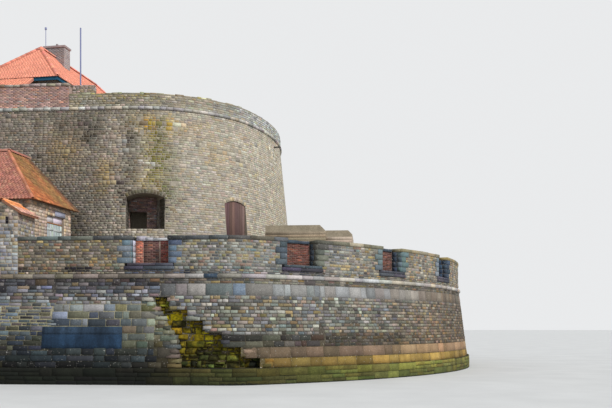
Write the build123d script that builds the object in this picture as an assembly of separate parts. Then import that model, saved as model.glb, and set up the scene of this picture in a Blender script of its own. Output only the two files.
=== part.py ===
from build123d import *
from math import asin, atan, cos, degrees, pi, radians, sin, sqrt, tan
import os

# Coastal fort: a low battery with a rounded seaward front, and an oval keep standing on it.
# Millimetres. +X is seaward along the axis, +Y is the far flank, +Z is up.
# The origin lies under the middle of the battery, on the ground.

# Battery plan, measured at the foot of its cordon
battery_half_length = 19190
battery_half_width = 19100
shoulder_radius = 2060
shoulder_angle = 32.4

# Battery walls, from the ground up
foundation_top = 680
foundation_projection = 110
foundation_batter = 40
escarp_height = 3690
escarp_batter = 1 / 7.7
escarp_thickness = 2500
shoulder_panel_length = 6200
shoulder_panel_arc = 5200
terrace_step = 30

# Patch on the near shoulder where the facing has fallen away
breach_depth = 450
breach_from_shoulder = 2900
breach_top_drop = 770
breach_step_count = 6
breach_step_run = 740
breach_foot_width = 3350
breach_neck_height = 1150

# Cordons: a half-round string course with its tail in the wall
cordon_height = 190
cordon_projection = 105
cordon_depth = 600
cordon_bands = 4

# Battery parapet and its embrasures
parapet_setback = 60
parapet_thickness = 1750
sill_rise = 440
merlon_rise = 980
coping_height = 170
coping_overhang = 50
embrasure_width = 1600
embrasure_splay = 14
sill_height = 260
sill_projection = 60
sill_end = 250
infill_thickness = 350
infill_setback = 550
infill_cap_overhang = 60
bow_embrasure_arcs = (3730, 9460, 15400)
flank_embrasure_first = 3070
flank_embrasure_last = 3482
flank_embrasure_count = 4
gorge_embrasure_pitch = 7600

# Concrete shelter on the terrace behind the bow
shelter_from_shoulder = 3840
shelter_from_line = 7200
shelter_length = 3000
shelter_depth = 3000
shelter_wall = 350
shelter_height = 2980
shelter_roof_thickness = 320
shelter_bevel = 290
shelter_wing_length = 1300
shelter_wing_setback = 120
shelter_wing_drop = 260
shelter_wing_bevel = 200
shelter_door_width = 1000
shelter_door_height = 1900

# Keep plan, measured at its cordon
keep_side_court = 9290
keep_gorge_court = 4177
keep_bow_court = 11252
keep_bow_radius = 6530
keep_bow_angle = 70.1

# Keep walls, floors and parapets
keep_wall_height = 9430
keep_batter = 1 / 10
keep_wall_thickness = 2000
keep_parapet_thickness = 900
keep_parapet_rise = 650
brick_parapet_rise = 1130
brick_coping_height = 150
brick_coping_overhang = 60
brick_parapet_end = 1390
keep_floor_height = 2600
keep_floor_thickness = 350
keep_roof_drop = 180
keep_roof_thickness = 450
stub_wall_length = 1210
stub_wall_setback = 450
stub_wall_thickness = 350

# Keep openings, set out by their distance from the end of the straight flank
recess_past_flank = 1160
recess_width = 2000
recess_sill_height = 3050
recess_jamb_height = 1680
recess_rise = 230
recess_splay = 560
recess_splay_depth = 1400
recess_screen_depth = 800
recess_screen_thickness = 300
recess_door_margin = 50
recess_door_width = 910
recess_door_height = 1090
boarded_past_flank = 5190
boarded_width = 1560
boarded_jamb_height = 2050
boarded_rise = 210
boarded_reveal = 80
boarded_thickness = 90
spout_diameter = 90
spout_reach = 420
spout_below_cordon = 440
spout_from_axis = 1970

# Guardhouse on the keep
house_turn = -5.5
guard_behind_centre = 2050
guard_off_axis = -350
guard_half_width = 2600
guard_end_clearance = 2910
guard_eave_height = 2780
guard_rise = 2670
guard_front_hip = 3000
guard_overhang = 350
guard_wall = 350
roof_thickness = 220
fascia_height = 200
fascia_thickness = 40
fascia_setback = 60
guard_window_height = 1200
guard_window_drop = 220
guard_window_side = 130
guard_light_count = 5
guard_end_light = 320
guard_mullion = 70
guard_frame_depth = 90
glass_thickness = 24
door_width = 1000
door_height = 2050
door_leaf = 60
door_leaf_setback = 120
skirt_length = 3700
skirt_run = 1000
skirt_drop = 730
skirt_thickness = 180
skirt_clearance = 20

# Chimney, flagpole and aerial
chimney_width = 1340
chimney_depth = 760
chimney_from_ridge_end = 1700
chimney_rise = 600
chimney_root = 1500
chimney_cap_height = 110
chimney_cap_overhang = 60
chimney_pot_radius = 70
chimney_pot_height = 220
flagpole_from_centre = 1490
flagpole_inset = 1470
flagpole_diameter = 80
flagpole_height = 4910
flagpole_shoe_height = 180
aerial_diameter = 40
aerial_ball_diameter = 130
aerial_height = 1150
aerial_inset = 120

# House on the terrace
house_behind_shoulder = 8760
house_from_parapet = 1810
house_length = 9000
house_width = 5340
house_back_cut = 4600
house_eave_height = 3630
house_rise = 2720
house_overhang = 300
house_wall = 450
shutter_from = 1880
shutter_width = 1700
shutter_sill_height = 1050
shutter_height = 2130
shutter_transom = 360
shutter_thickness = 50
shutter_setback = 130
shutter_gap = 16
house_door_from = 6400

# Annexe between the parapet and the house
annexe_behind_shoulder = 8670
annexe_length = 3300
annexe_wall = 450
annexe_flat_height = 2940
annexe_ridge_from_side = 680
annexe_ridge_height = 3060
annexe_eave_height = 2620
annexe_flat_step = 260
annexe_eave_overhang = 170
annexe_verge = 60
annexe_tile_thickness = 110
slit_from_side = 910
slit_width = 130
slit_sill_height = 2120
slit_height = 320

# Clearances between pieces
fit_gap = 0.3
cut_slack = 10

os.makedirs("parts", exist_ok=True)

# Worked-out plan values
nose_radius = shoulder_radius + (battery_half_width - shoulder_radius) / cos(radians(shoulder_angle))
nose_offset = (nose_radius - shoulder_radius) * sin(radians(shoulder_angle))
shoulder_x = battery_half_length + nose_offset - nose_radius
nose_x = shoulder_x - nose_offset
keep_half_length = battery_half_length - (keep_gorge_court + keep_bow_court) / 2
keep_centre_x = keep_half_length + keep_gorge_court - battery_half_length
keep_half_width = battery_half_width - keep_side_court
keep_bow_nose = keep_bow_radius + (keep_half_width - keep_bow_radius) / cos(radians(keep_bow_angle))
keep_bow_offset = (keep_bow_nose - keep_bow_radius) * sin(radians(keep_bow_angle))
keep_bow_reach = keep_bow_nose - keep_bow_offset
keep_flank_half = keep_half_length - keep_bow_reach
recess_station = keep_flank_half + recess_past_flank
boarded_station = keep_flank_half + boarded_past_flank
flank_embrasure_span = shoulder_x + battery_half_length - flank_embrasure_first - flank_embrasure_last
flank_embrasure_pitch = flank_embrasure_span / (flank_embrasure_count - 1)
guard_half_depth = keep_half_width - guard_end_clearance
guard_centre_x = keep_centre_x - guard_behind_centre
annexe_right_x = shoulder_x - annexe_behind_shoulder
annexe_left_x = annexe_right_x - annexe_length
annexe_ridge_x = annexe_right_x - annexe_ridge_from_side
parapet_face_y = -battery_half_width + parapet_setback

# Worked-out levels
escarp_top = foundation_top + escarp_height
terrace_level = escarp_top + terrace_step
cordon_top = escarp_top + cordon_height
sill_level = cordon_top + sill_rise
merlon_top = sill_level + merlon_rise
shelter_top = terrace_level + shelter_height
keep_wall_top = terrace_level + keep_wall_height
keep_cordon_top = keep_wall_top + cordon_height
keep_parapet_top = keep_cordon_top + keep_parapet_rise
brick_parapet_top = keep_cordon_top + brick_parapet_rise
keep_floor_top = terrace_level + keep_floor_height
keep_roof_top = keep_wall_top - keep_roof_drop
recess_sill = terrace_level + recess_sill_height
recess_spring = recess_sill + recess_jamb_height
boarded_sill = keep_floor_top
boarded_spring = boarded_sill + boarded_jamb_height
# The boards stand just behind the battered face at the crown of the arch
boarded_setback = boarded_reveal - (keep_wall_top - boarded_spring - boarded_rise) * keep_batter
guard_eave = keep_roof_top + guard_eave_height
guard_window_head = guard_eave - guard_window_drop
guard_window_sill = guard_window_head - guard_window_height
guard_window_half = guard_half_width - guard_overhang - guard_window_side
guard_light_pitch = 2 * (guard_window_half - guard_end_light) / guard_light_count
chimney_top = guard_eave + guard_rise + chimney_rise
house_eave = terrace_level + house_eave_height
shutter_sill = terrace_level + shutter_sill_height
shutter_head = shutter_sill + shutter_height
annexe_flat_top = cordon_top + annexe_flat_height
annexe_ridge_top = cordon_top + annexe_ridge_height
annexe_eave_top = cordon_top + annexe_eave_height
slit_sill = cordon_top + slit_sill_height

# Larger than the fort, for cutting tools
big = 3 * battery_half_length


def save(node, shape):
    """Write one named piece."""
    solids = shape.solids()
    body = solids[0] if len(solids) == 1 else Compound(children=list(solids))
    export_step(body, "parts/" + node + ".step")


def battery_face(offset, z):
    """Battery plan at one level: square landward end, rounded shoulders, broad round nose."""
    half = battery_half_width + offset
    back = -battery_half_length - offset
    corner = shoulder_radius + offset
    nose = nose_radius + offset
    turn = shoulder_angle
    if corner < cut_slack:
        reach = (nose * nose - half * half) ** 0.5
        sweep = degrees(asin(half / nose))
        shoulders = [Line((back, -half), (nose_x + reach, -half)), CenterArc((nose_x, 0), nose, -sweep, 2 * sweep),
                     Line((nose_x + reach, half), (back, half))]
    else:
        shoulders = [
            Line((back, -half), (shoulder_x, -half)),
            CenterArc((shoulder_x, -(battery_half_width - shoulder_radius)), corner, -90, turn),
            CenterArc((nose_x, 0), nose, turn - 90, 2 * (90 - turn)),
            CenterArc((shoulder_x, battery_half_width - shoulder_radius), corner, 90 - turn, turn),
            Line((shoulder_x, half), (back, half)),
        ]
    edges = shoulders + [Line((back, half), (back, -half))]
    return Pos(0, 0, z) * Face(Wire(edges))


def keep_face(offset, z):
    """Keep plan at one level: straight flanks and two blunt round ends."""
    half = keep_half_width + offset
    side = keep_bow_radius + offset
    bow = keep_bow_nose + offset
    turn = keep_bow_angle
    rise = keep_half_width - keep_bow_radius
    right = keep_flank_half
    left = -keep_flank_half
    edges = [
        Line((left, -half), (right, -half)),
        CenterArc((right, -rise), side, -90, turn),
        CenterArc((right - keep_bow_offset, 0), bow, turn - 90, 2 * (90 - turn)),
        CenterArc((right, rise), side, 90 - turn, turn),
        Line((right, half), (left, half)),
        CenterArc((left, rise), side, 90, turn),
        CenterArc((left + keep_bow_offset, 0), bow, 90 + turn, 2 * (90 - turn)),
        CenterArc((left, -rise), side, 270 - turn, turn),
    ]
    return Pos(keep_centre_x, 0, z) * Face(Wire(edges))


def frustum(plan, low_offset, low, high_offset, high):
    """Battered solid between two levels of a plan."""
    lean = degrees(atan((low_offset - high_offset) / (high - low)))
    return extrude(plan(low_offset, low), amount=high - low, taper=lean)


def block(x0, x1, y0, y1, z0, z1):
    """Plain box between named limits."""
    return Pos((x0 + x1) / 2, (y0 + y1) / 2, (z0 + z1) / 2) * Box(x1 - x0, y1 - y0, z1 - z0)


def arch_prism(width, sill, spring, rise, depth):
    """Segmental-arched opening, standing on the XZ plane and running along +Y."""
    radius = (width * width / 4 + rise * rise) / (2 * rise)
    crown = (0, spring + rise)
    edges = [
        Line((-width / 2, sill), (width / 2, sill)),
        Line((width / 2, sill), (width / 2, spring)),
        ThreePointArc((width / 2, spring), crown, (-width / 2, spring)),
        Line((-width / 2, spring), (-width / 2, sill)),
    ]
    profile = Plane.XZ * Face(Wire(edges))
    return extrude(profile, amount=depth, dir=(0, 1, 0))


def battery_frame(arc_length, offset):
    """Place and heading on the near side of the battery line; +Y points inward."""
    turn = radians(shoulder_angle)
    bend = shoulder_radius * turn
    if arc_length <= 0:
        return shoulder_x + arc_length, -battery_half_width - offset, 0
    if arc_length < bend:
        angle = arc_length / shoulder_radius
        x = shoulder_x + (shoulder_radius + offset) * sin(angle)
        y = -(battery_half_width - shoulder_radius) - (shoulder_radius + offset) * cos(angle)
        return x, y, degrees(angle)
    angle = turn + (arc_length - bend) / nose_radius
    x = nose_x + (nose_radius + offset) * sin(angle)
    y = -(nose_radius + offset) * cos(angle)
    return x, y, degrees(angle)


def keep_bow_frame(station):
    """Place and heading on the near side of the keep at a distance along X from its middle."""
    run = station - keep_flank_half
    if run <= 0:
        return keep_centre_x + station, -keep_half_width, 0
    turn = radians(keep_bow_angle)
    rise = keep_half_width - keep_bow_radius
    if run < keep_bow_radius * sin(turn):
        lean = run / keep_bow_radius
        y = -rise - keep_bow_radius * sqrt(1 - lean * lean)
    else:
        lean = (run + keep_bow_offset) / keep_bow_nose
        y = -keep_bow_nose * sqrt(1 - lean * lean)
    return keep_centre_x + station, y, degrees(asin(lean))


def stand(place, shape):
    """Set a shape drawn on the XZ plane at a place and heading on a wall line."""
    x, y, heading = place
    return Pos(x, y, 0) * Rot(0, 0, heading) * shape


def far_side(shape):
    """The same piece mirrored to the far flank."""
    return mirror(shape, about=Plane.XZ)


def landward(shape):
    """The same piece mirrored to the landward end of the keep."""
    return mirror(shape, about=Plane.YZ.offset(keep_centre_x))


# Battery

def foundation():
    low = foundation_projection + escarp_height * escarp_batter
    return frustum(battery_face, low + foundation_batter, 0, low, foundation_top)


def escarp_offset(z):
    return (escarp_top - z) * escarp_batter


def escarp_ring():
    outer = frustum(battery_face, escarp_offset(foundation_top), foundation_top, 0, escarp_top)
    inner = frustum(battery_face, -escarp_thickness, foundation_top, -escarp_thickness, escarp_top)
    return outer - inner


def terreplein():
    return frustum(battery_face, -escarp_thickness, foundation_top, -escarp_thickness, terrace_level)


def breach():
    """Patch with a stepped upper edge, where the facing stones have fallen away."""
    start = shoulder_x - breach_from_shoulder
    top = escarp_top - breach_top_drop
    drop = (top - foundation_top) / breach_step_count
    corners = [(start, top)]
    for step in range(breach_step_count):
        right = start + (step + 1) * breach_step_run
        corners.append((right - breach_step_run, top - step * drop))
        corners.append((right, top - step * drop))
        corners.append((right, top - (step + 1) * drop))
    foot = corners[-1][0]
    corners.append((foot, foundation_top - cut_slack))
    corners.append((foot - breach_foot_width, foundation_top - cut_slack))
    corners.append((foot - breach_foot_width, foundation_top + breach_neck_height))
    corners.append((start, top - drop / 2))
    outline = Plane.XZ * Face(Wire.make_polygon([Vector(x, z, 0) for x, z in corners[1:]], close=True))
    prism = extrude(outline, amount=big, dir=(0, -1, 0))
    low = foundation_top - 2 * cut_slack
    kept = frustum(battery_face, escarp_offset(low) - breach_depth, low, -breach_depth, escarp_top)
    return prism - kept


def bow_zone():
    """Everything seaward of the shoulders."""
    near = stand(battery_frame(shoulder_panel_arc, 0), block(0, big, -big, big, -cut_slack, big))
    return near & far_side(near)


def cordon_ring(plan, low):
    """Half-round string course round a plan, in level bands, with its tail let into the wall."""
    radius = cordon_height / 2
    bead = cordon_projection - radius
    body = None
    for band in range(cordon_bands):
        start = -pi / 2 + band * pi / cordon_bands
        end = start + pi / cordon_bands
        ring = frustum(plan, bead + radius * cos(start), low + radius * (1 + sin(start)),
                       bead + radius * cos(end), low + radius * (1 + sin(end)))
        body = ring if body is None else body + ring
    tail = frustum(plan, -cordon_depth, low - cut_slack, -cordon_depth, low + cordon_height + cut_slack)
    return body - tail


def plan_ring(plan, outer, inner, low, high):
    """Upright ring between two offsets of a plan."""
    return frustum(plan, outer, low, outer, high) - frustum(plan, inner, low - cut_slack, inner, high + cut_slack)


def parapet_ring():
    return plan_ring(battery_face, -parapet_setback, -parapet_setback - parapet_thickness, cordon_top, merlon_top)


def splayed_plan(front, back):
    """Plan of a piece that fits the splay of a gun opening, between two depths."""
    lean = tan(radians(embrasure_splay)) / 2
    near = embrasure_width / 2 - front * lean
    far = embrasure_width / 2 - back * lean
    corners = [(-near, front), (near, front), (far, back), (-far, back)]
    return Face(Wire.make_polygon([Vector(x, y, 0) for x, y in corners], close=True))


def embrasure_gap():
    """Open-topped gun opening, widening outward through the parapet."""
    plan = splayed_plan(-2 * coping_overhang, parapet_thickness + 2 * coping_overhang)
    return extrude(Pos(0, 0, sill_level) * plan, amount=big, dir=(0, 0, 1))


def embrasure_places():
    """Places along the near flank and bow, then the nose and the landward wall."""
    places = []
    for index in range(flank_embrasure_count):
        station = flank_embrasure_first + index * flank_embrasure_pitch
        places.append(battery_frame(-station, -parapet_setback))
    for arc in bow_embrasure_arcs:
        places.append(battery_frame(arc, -parapet_setback))
    return places


def axis_places():
    nose = (battery_half_length - parapet_setback, 0, 90)
    gorge = [(-battery_half_length + parapet_setback, side * gorge_embrasure_pitch, -90) for side in (-1, 0, 1)]
    return [nose] + gorge


def at_embrasures(shape):
    """Copies of one piece at every embrasure, with none where the annexe stands."""
    pieces = []
    for place in embrasure_places():
        piece = stand(place, shape)
        pieces.append(far_side(piece))
        if not annexe_left_x - embrasure_width < place[0] < annexe_right_x + embrasure_width:
            pieces.append(piece)
    for place in axis_places():
        pieces.append(stand(place, shape))
    return pieces


def embrasure_sill():
    """Dark slab under each opening, standing a little proud."""
    half = embrasure_width / 2 + sill_end
    return block(-half, half, -sill_projection, infill_setback, sill_level - sill_height, sill_level)


def embrasure_infill():
    """Brick wall that closes an opening."""
    plan = splayed_plan(infill_setback, infill_setback + infill_thickness)
    return extrude(Pos(0, 0, sill_level) * plan, amount=merlon_top - sill_level, dir=(0, 0, 1))


def infill_cap():
    """Stone laid on top of an infill, level with the copings beside it."""
    plan = splayed_plan(infill_setback - infill_cap_overhang, infill_setback + infill_thickness)
    return extrude(Pos(0, 0, merlon_top) * plan, amount=coping_height, dir=(0, 0, 1))


def annexe_zone(low):
    """Space in the parapet that the annexe takes."""
    deep = -battery_half_width + parapet_setback + parapet_thickness + 2 * coping_overhang
    return block(annexe_left_x, annexe_right_x, -battery_half_width - 2 * coping_overhang, deep, low, big)


def coping_ring():
    outer = coping_overhang - parapet_setback
    inner = -parapet_setback - parapet_thickness - coping_overhang
    return plan_ring(battery_face, outer, inner, merlon_top, merlon_top + coping_height)


def shelter_place(shape):
    """Shelter frame: +X landward, +Y inward, from the corner where its two blocks meet."""
    x = shoulder_x + shelter_from_shoulder
    y = -battery_half_width + shelter_from_line
    return turned(x, y, 0, 0, mirror(shape, about=Plane.YZ))


def shelter_block(x0, x1, y0, low, high, bevel):
    """Cast block with its upper seaward edge bevelled."""
    body = block(x0, x1, y0, shelter_depth, low, high)
    edges = [e for e in body.edges() if abs(e.center().X - x0) < 1 and abs(e.center().Z - high) < 1]
    return chamfer(edges, bevel)


def shelter_walls():
    top = shelter_top - shelter_roof_thickness
    wing_top = top - shelter_wing_drop
    low = terrace_level
    main = block(0, shelter_length, 0, shelter_depth, low, top)
    wing = block(-shelter_wing_length, 0, shelter_wing_setback, shelter_depth, low, wing_top)
    room = block(shelter_wall, shelter_length - shelter_wall, shelter_wall, shelter_depth - shelter_wall,
                 low - cut_slack, top + cut_slack)
    wing_room = block(shelter_wall - shelter_wing_length, shelter_length / 2, shelter_wing_setback + shelter_wall,
                      shelter_depth - shelter_wall, low - cut_slack, wing_top)
    middle = shelter_length / 2
    door = block(middle - shelter_door_width / 2, middle + shelter_door_width / 2, shelter_depth - 2 * shelter_wall,
                 shelter_depth + cut_slack, low - cut_slack, low + shelter_door_height)
    return shelter_place(main + wing - room - wing_room - door)


def shelter_roof():
    """Cast slabs over the room and its lower wing."""
    low = shelter_top - shelter_roof_thickness
    main = shelter_block(0, shelter_length, 0, low, shelter_top, shelter_bevel)
    wing = shelter_block(-shelter_wing_length, 0, shelter_wing_setback, low - shelter_wing_drop,
                         shelter_top - shelter_wing_drop, shelter_wing_bevel)
    return shelter_place(main + wing)


# Keep

def keep_offset(z):
    return (keep_wall_top - z) * keep_batter


def keep_ring():
    low = terrace_level
    outer = frustum(keep_face, keep_offset(low), low, 0, keep_wall_top)
    inner = frustum(keep_face, -keep_wall_thickness, low, -keep_wall_thickness, keep_wall_top)
    return outer - inner


def recess_plan(front, back):
    """Plan of the deep recess between two depths: its seaward side closes in behind the face."""
    half = recess_width / 2
    inner = half - recess_splay
    corners = [(-half, front), (half, front), (half, 0), (inner, recess_splay_depth), (inner, back), (-half, back)]
    return Face(Wire.make_polygon([Vector(x, y, 0) for x, y in corners], close=True))


def recess_cut():
    body = arch_prism(recess_width, recess_sill, recess_spring, recess_rise, 2 * keep_wall_thickness)
    plan = extrude(recess_plan(-keep_wall_thickness, 2 * keep_wall_thickness), amount=big, dir=(0, 0, 1))
    # The splay starts at the battered face of the wall
    face = (keep_wall_top - recess_spring) * keep_batter
    return stand(keep_bow_frame(recess_station), (Pos(0, -keep_wall_thickness, 0) * body) & (Pos(0, -face, 0) * plan))


def boarded_cut():
    body = arch_prism(boarded_width, boarded_sill, boarded_spring, boarded_rise, 3 * keep_wall_thickness)
    return stand(keep_bow_frame(boarded_station), Pos(0, -1.5 * keep_wall_thickness, 0) * body)


def four_ways(shape):
    """A piece of the near seaward quarter repeated in all four quarters."""
    return [shape, far_side(shape), landward(shape), landward(far_side(shape))]


def recess_screen():
    """Brick wall at the back of the deep recess, with a low doorway."""
    right = recess_width / 2 - recess_splay
    body = arch_prism(recess_width, recess_sill, recess_spring, recess_rise, recess_screen_thickness)
    body = Pos(0, recess_screen_depth, 0) * body
    body -= block(right, recess_width, 0, big, 0, big)
    left = -recess_width / 2 + recess_door_margin
    door = block(left, left + recess_door_width, 0, big, recess_sill - cut_slack, recess_sill + recess_door_height)
    return stand(keep_bow_frame(recess_station), body - door)


def boarded_door():
    """Upright boards that close the smaller upper doorway."""
    body = arch_prism(boarded_width, boarded_sill, boarded_spring, boarded_rise, boarded_thickness)
    return stand(keep_bow_frame(boarded_station), Pos(0, boarded_setback, 0) * body)


def roof_spout(ring):
    """Short pipe that drains the roof terrace through the seaward wall, just below the cordon."""
    level = keep_wall_top - spout_below_cordon
    face = keep_bow_nose + spout_below_cordon * keep_batter
    buried = keep_wall_thickness / 2
    pipe = Cylinder(spout_diameter / 2, buried + spout_reach, align=(Align.CENTER, Align.CENTER, Align.MIN))
    pipe = Pos(face - buried, 0, 0) * Rot(0, 90, 0) * pipe
    turn = -degrees(asin(spout_from_axis / keep_bow_nose))
    centre = keep_centre_x + keep_flank_half - keep_bow_offset
    pipe = Pos(centre, 0, level) * Rot(0, 0, turn) * pipe
    return (pipe - ring).solids().sort_by(Axis.X)[-1]


def keep_slab(top, thickness):
    return frustum(keep_face, -keep_wall_thickness, top - thickness, -keep_wall_thickness, top)


def keep_parapet():
    return plan_ring(keep_face, 0, -keep_parapet_thickness, keep_cordon_top, brick_parapet_top)


def stub_wall():
    """Short wall behind the end of the brick parapet."""
    start = keep_centre_x + brick_parapet_end
    outer = -keep_half_width + stub_wall_setback
    return block(start, start + stub_wall_length, outer, outer + stub_wall_thickness, keep_parapet_top,
                 brick_parapet_top + brick_coping_height)


# Hipped roofs

def ridge_prism(length, width, rise, overlap):
    """Long roof body with its ridge along X, eaves at z = 0, from x = 0."""
    points = [(0, 0), (width, 0), (width / 2, rise)]
    profile = Plane.YZ * Face(Wire.make_polygon([Vector(y, z, 0) for y, z in points], close=True))
    return Pos(-overlap, 0, 0) * extrude(profile, amount=length + 2 * overlap, dir=(1, 0, 0))


def hip_limits(length, width, rise, near_run, far_run):
    """Side view of the hipped ends, as a prism across the roof."""
    points = [(0, 0), (length, 0), (length - far_run, rise), (near_run, rise)]
    profile = Plane.XZ * Face(Wire.make_polygon([Vector(x, z, 0) for x, z in points], close=True))
    return Pos(0, -cut_slack, 0) * extrude(profile, amount=width + 2 * cut_slack, dir=(0, 1, 0))


def hipped(length, width, rise, near_run, far_run):
    return ridge_prism(length, width, rise, cut_slack) & hip_limits(length, width, rise, near_run, far_run)


def turned(x, y, z, heading, shape):
    return Pos(x, y, z) * Rot(0, 0, heading) * shape


def guard_place(shape):
    """Guardhouse frame: +X across it, +Y along it from its near end, centred on the keep."""
    return turned(guard_centre_x, guard_off_axis, 0, house_turn, shape)


def guard_roof_body():
    length = 2 * guard_half_depth
    body = hipped(length, 2 * guard_half_width, guard_rise, guard_front_hip, guard_front_hip)
    upright = Rot(0, 0, 90) * Pos(-guard_half_depth, -guard_half_width, 0) * body
    return Pos(0, 0, guard_eave) * upright


def guard_roof():
    body = guard_roof_body()
    return body - Pos(0, 0, -roof_thickness) * body


def guard_skirt():
    """Low strip of tiles before the near end of the guardhouse."""
    top = guard_eave - skirt_clearance
    back = -guard_half_depth + fascia_setback - fit_gap
    front = -guard_half_depth - skirt_run
    points = [
        (back, top - skirt_thickness),
        (front, top - skirt_drop - skirt_thickness),
        (front, top - skirt_drop),
        (back, top),
    ]
    profile = Plane.YZ * Face(Wire.make_polygon([Vector(y, z, 0) for y, z in points], close=True))
    return Pos(-guard_half_width, 0, 0) * extrude(profile, amount=skirt_length, dir=(1, 0, 0))


def guard_window_cut():
    return block(-guard_window_half, guard_window_half, -big, big, guard_window_sill, guard_window_head)


def guard_walls():
    half_x = guard_half_width - guard_overhang
    half_y = guard_half_depth - guard_overhang
    body = block(-half_x, half_x, -half_y, half_y, keep_roof_top, guard_eave + guard_rise)
    room = block(-half_x + guard_wall, half_x - guard_wall, -half_y + guard_wall, half_y - guard_wall,
                 keep_roof_top - cut_slack, guard_eave + guard_rise)
    under = Pos(0, 0, -roof_thickness) * guard_roof_body()
    below = block(-half_x - cut_slack, half_x + cut_slack, -half_y - cut_slack, half_y + cut_slack,
                  keep_roof_top - cut_slack, guard_eave - roof_thickness)
    walls = (body - room) & (under + below)
    return walls - guard_window_cut() - guard_door_cut()


def guard_door_cut():
    return block(0, big, -door_width / 2, door_width / 2, keep_roof_top - cut_slack, keep_roof_top + door_height)


def guard_window_frame(side):
    """Frame with upright mullions that fills the window band of one end wall."""
    half = guard_window_half
    middle = side * (guard_half_depth - guard_overhang - guard_wall / 2)
    front = middle - guard_frame_depth / 2
    back = middle + guard_frame_depth / 2
    frame = block(-half, half, front, back, guard_window_sill, guard_window_head)
    edges = [-half + guard_mullion]
    for number in range(guard_light_count + 1):
        spot = guard_end_light - half + number * guard_light_pitch
        edges += [spot - guard_mullion / 2, spot + guard_mullion / 2]
    edges.append(half - guard_mullion)
    for left, right in zip(edges[0::2], edges[1::2]):
        frame -= block(left, right, -big, big, guard_window_sill + guard_mullion, guard_window_head - guard_mullion)
    return frame, list(zip(edges[0::2], edges[1::2])), middle


def guard_window_panes(side):
    frame, lights, middle = guard_window_frame(side)
    panes = []
    for left, right in lights:
        panes.append(block(left, right, middle - glass_thickness / 2, middle + glass_thickness / 2,
                           guard_window_sill + guard_mullion, guard_window_head - guard_mullion))
    return panes


def guard_door_leaf():
    face = guard_half_width - guard_overhang - door_leaf_setback
    return block(face - door_leaf, face, -door_width / 2, door_width / 2, keep_roof_top, keep_roof_top + door_height)


def guard_fascia():
    """Painted board right round under the eaves."""
    outer_x = guard_half_width - fascia_setback
    outer_y = guard_half_depth - fascia_setback
    low = guard_eave - fascia_height
    body = block(-outer_x, outer_x, -outer_y, outer_y, low, guard_eave)
    inner = block(-outer_x + fascia_thickness, outer_x - fascia_thickness, -outer_y + fascia_thickness,
                  outer_y - fascia_thickness, low - cut_slack, guard_eave + cut_slack)
    return body - inner


def chimney_near_face():
    return -guard_half_depth + guard_front_hip + chimney_from_ridge_end


def chimney():
    """Stack through the ridge, with a projecting cap and a small pot."""
    near = chimney_near_face()
    half = chimney_width / 2
    low = guard_eave + guard_rise - chimney_root
    shaft = block(-half, half, near, near + chimney_depth, low, chimney_top) - guard_roof()
    shaft = shaft.solids().sort_by(Axis.Z)[-1]
    lip = chimney_cap_overhang
    cap = block(-half - lip, half + lip, near - lip, near + chimney_depth + lip, chimney_top,
                chimney_top + chimney_cap_height)
    pot = Cylinder(chimney_pot_radius, chimney_pot_height, align=(Align.CENTER, Align.CENTER, Align.MIN))
    return shaft + cap + Pos(0, near + chimney_depth / 2, chimney_top + chimney_cap_height) * pot


def flagpole():
    upright = (Align.CENTER, Align.CENTER, Align.MIN)
    pole = Cylinder(flagpole_diameter / 2, flagpole_height, align=upright)
    shoe = Cylinder(flagpole_diameter, flagpole_shoe_height, align=upright)
    x = keep_centre_x + flagpole_from_centre
    return Pos(x, -keep_half_width + flagpole_inset, keep_wall_top) * (pole + shoe)


def aerial():
    """Thin mast with a small head, standing on the chimney cap."""
    x = -chimney_width / 2 + aerial_diameter
    y = chimney_near_face() + aerial_inset
    foot = chimney_top + chimney_cap_height
    mast = Cylinder(aerial_diameter / 2, aerial_height, align=(Align.CENTER, Align.CENTER, Align.MIN))
    head = Cylinder(aerial_ball_diameter / 2, aerial_ball_diameter)
    return Pos(x, y, foot) * (mast + Pos(0, 0, aerial_height) * head)


# House on the terrace

def house_place(shape):
    """House frame: +X landward along the front eave, +Y inward, from the near seaward eave corner."""
    x = shoulder_x - house_behind_shoulder
    y = -battery_half_width + house_from_parapet
    return turned(x, y, 0, house_turn, mirror(shape, about=Plane.YZ))


def house_roof_body():
    half = house_width / 2
    main = hipped(house_length, house_width, house_rise, half, half)
    cross = ridge_prism(house_back_cut, house_width, house_rise, 0)
    cross = Rot(0, 0, 90) * cross
    cross = Pos(house_width, 0, 0) * cross
    cross -= block(0, house_width, 0, half, -cut_slack, house_rise + cut_slack)
    kept = block(-cut_slack, house_length + cut_slack, -cut_slack, house_back_cut, -cut_slack, house_rise + cut_slack)
    body = (main + cross) & kept
    return Pos(0, 0, house_eave) * body


def house_roof():
    body = house_roof_body()
    return body - Pos(0, 0, -roof_thickness) * body


def house_walls():
    x0 = house_overhang
    x1 = house_length - house_overhang
    y0 = house_overhang
    y1 = house_back_cut - house_overhang
    top = house_eave + house_rise
    body = block(x0, x1, y0, y1, terrace_level, top)
    room = block(x0 + house_wall, x1 - house_wall, y0 + house_wall, y1 - house_wall, terrace_level - cut_slack,
                 top + cut_slack)
    under = Pos(0, 0, -roof_thickness) * house_roof_body()
    below = block(x0 - cut_slack, x1 + cut_slack, y0 - cut_slack, y1 + cut_slack, terrace_level - cut_slack,
                  house_eave - roof_thickness)
    walls = (body - room) & (under + below)
    walls -= block(-cut_slack, x0 + house_wall + cut_slack, shutter_from, shutter_from + shutter_width,
                   shutter_sill, shutter_head)
    walls -= block(house_door_from, house_door_from + door_width, y1 - house_wall - cut_slack, y1 + cut_slack,
                   terrace_level - cut_slack, terrace_level + door_height)
    return walls


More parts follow.
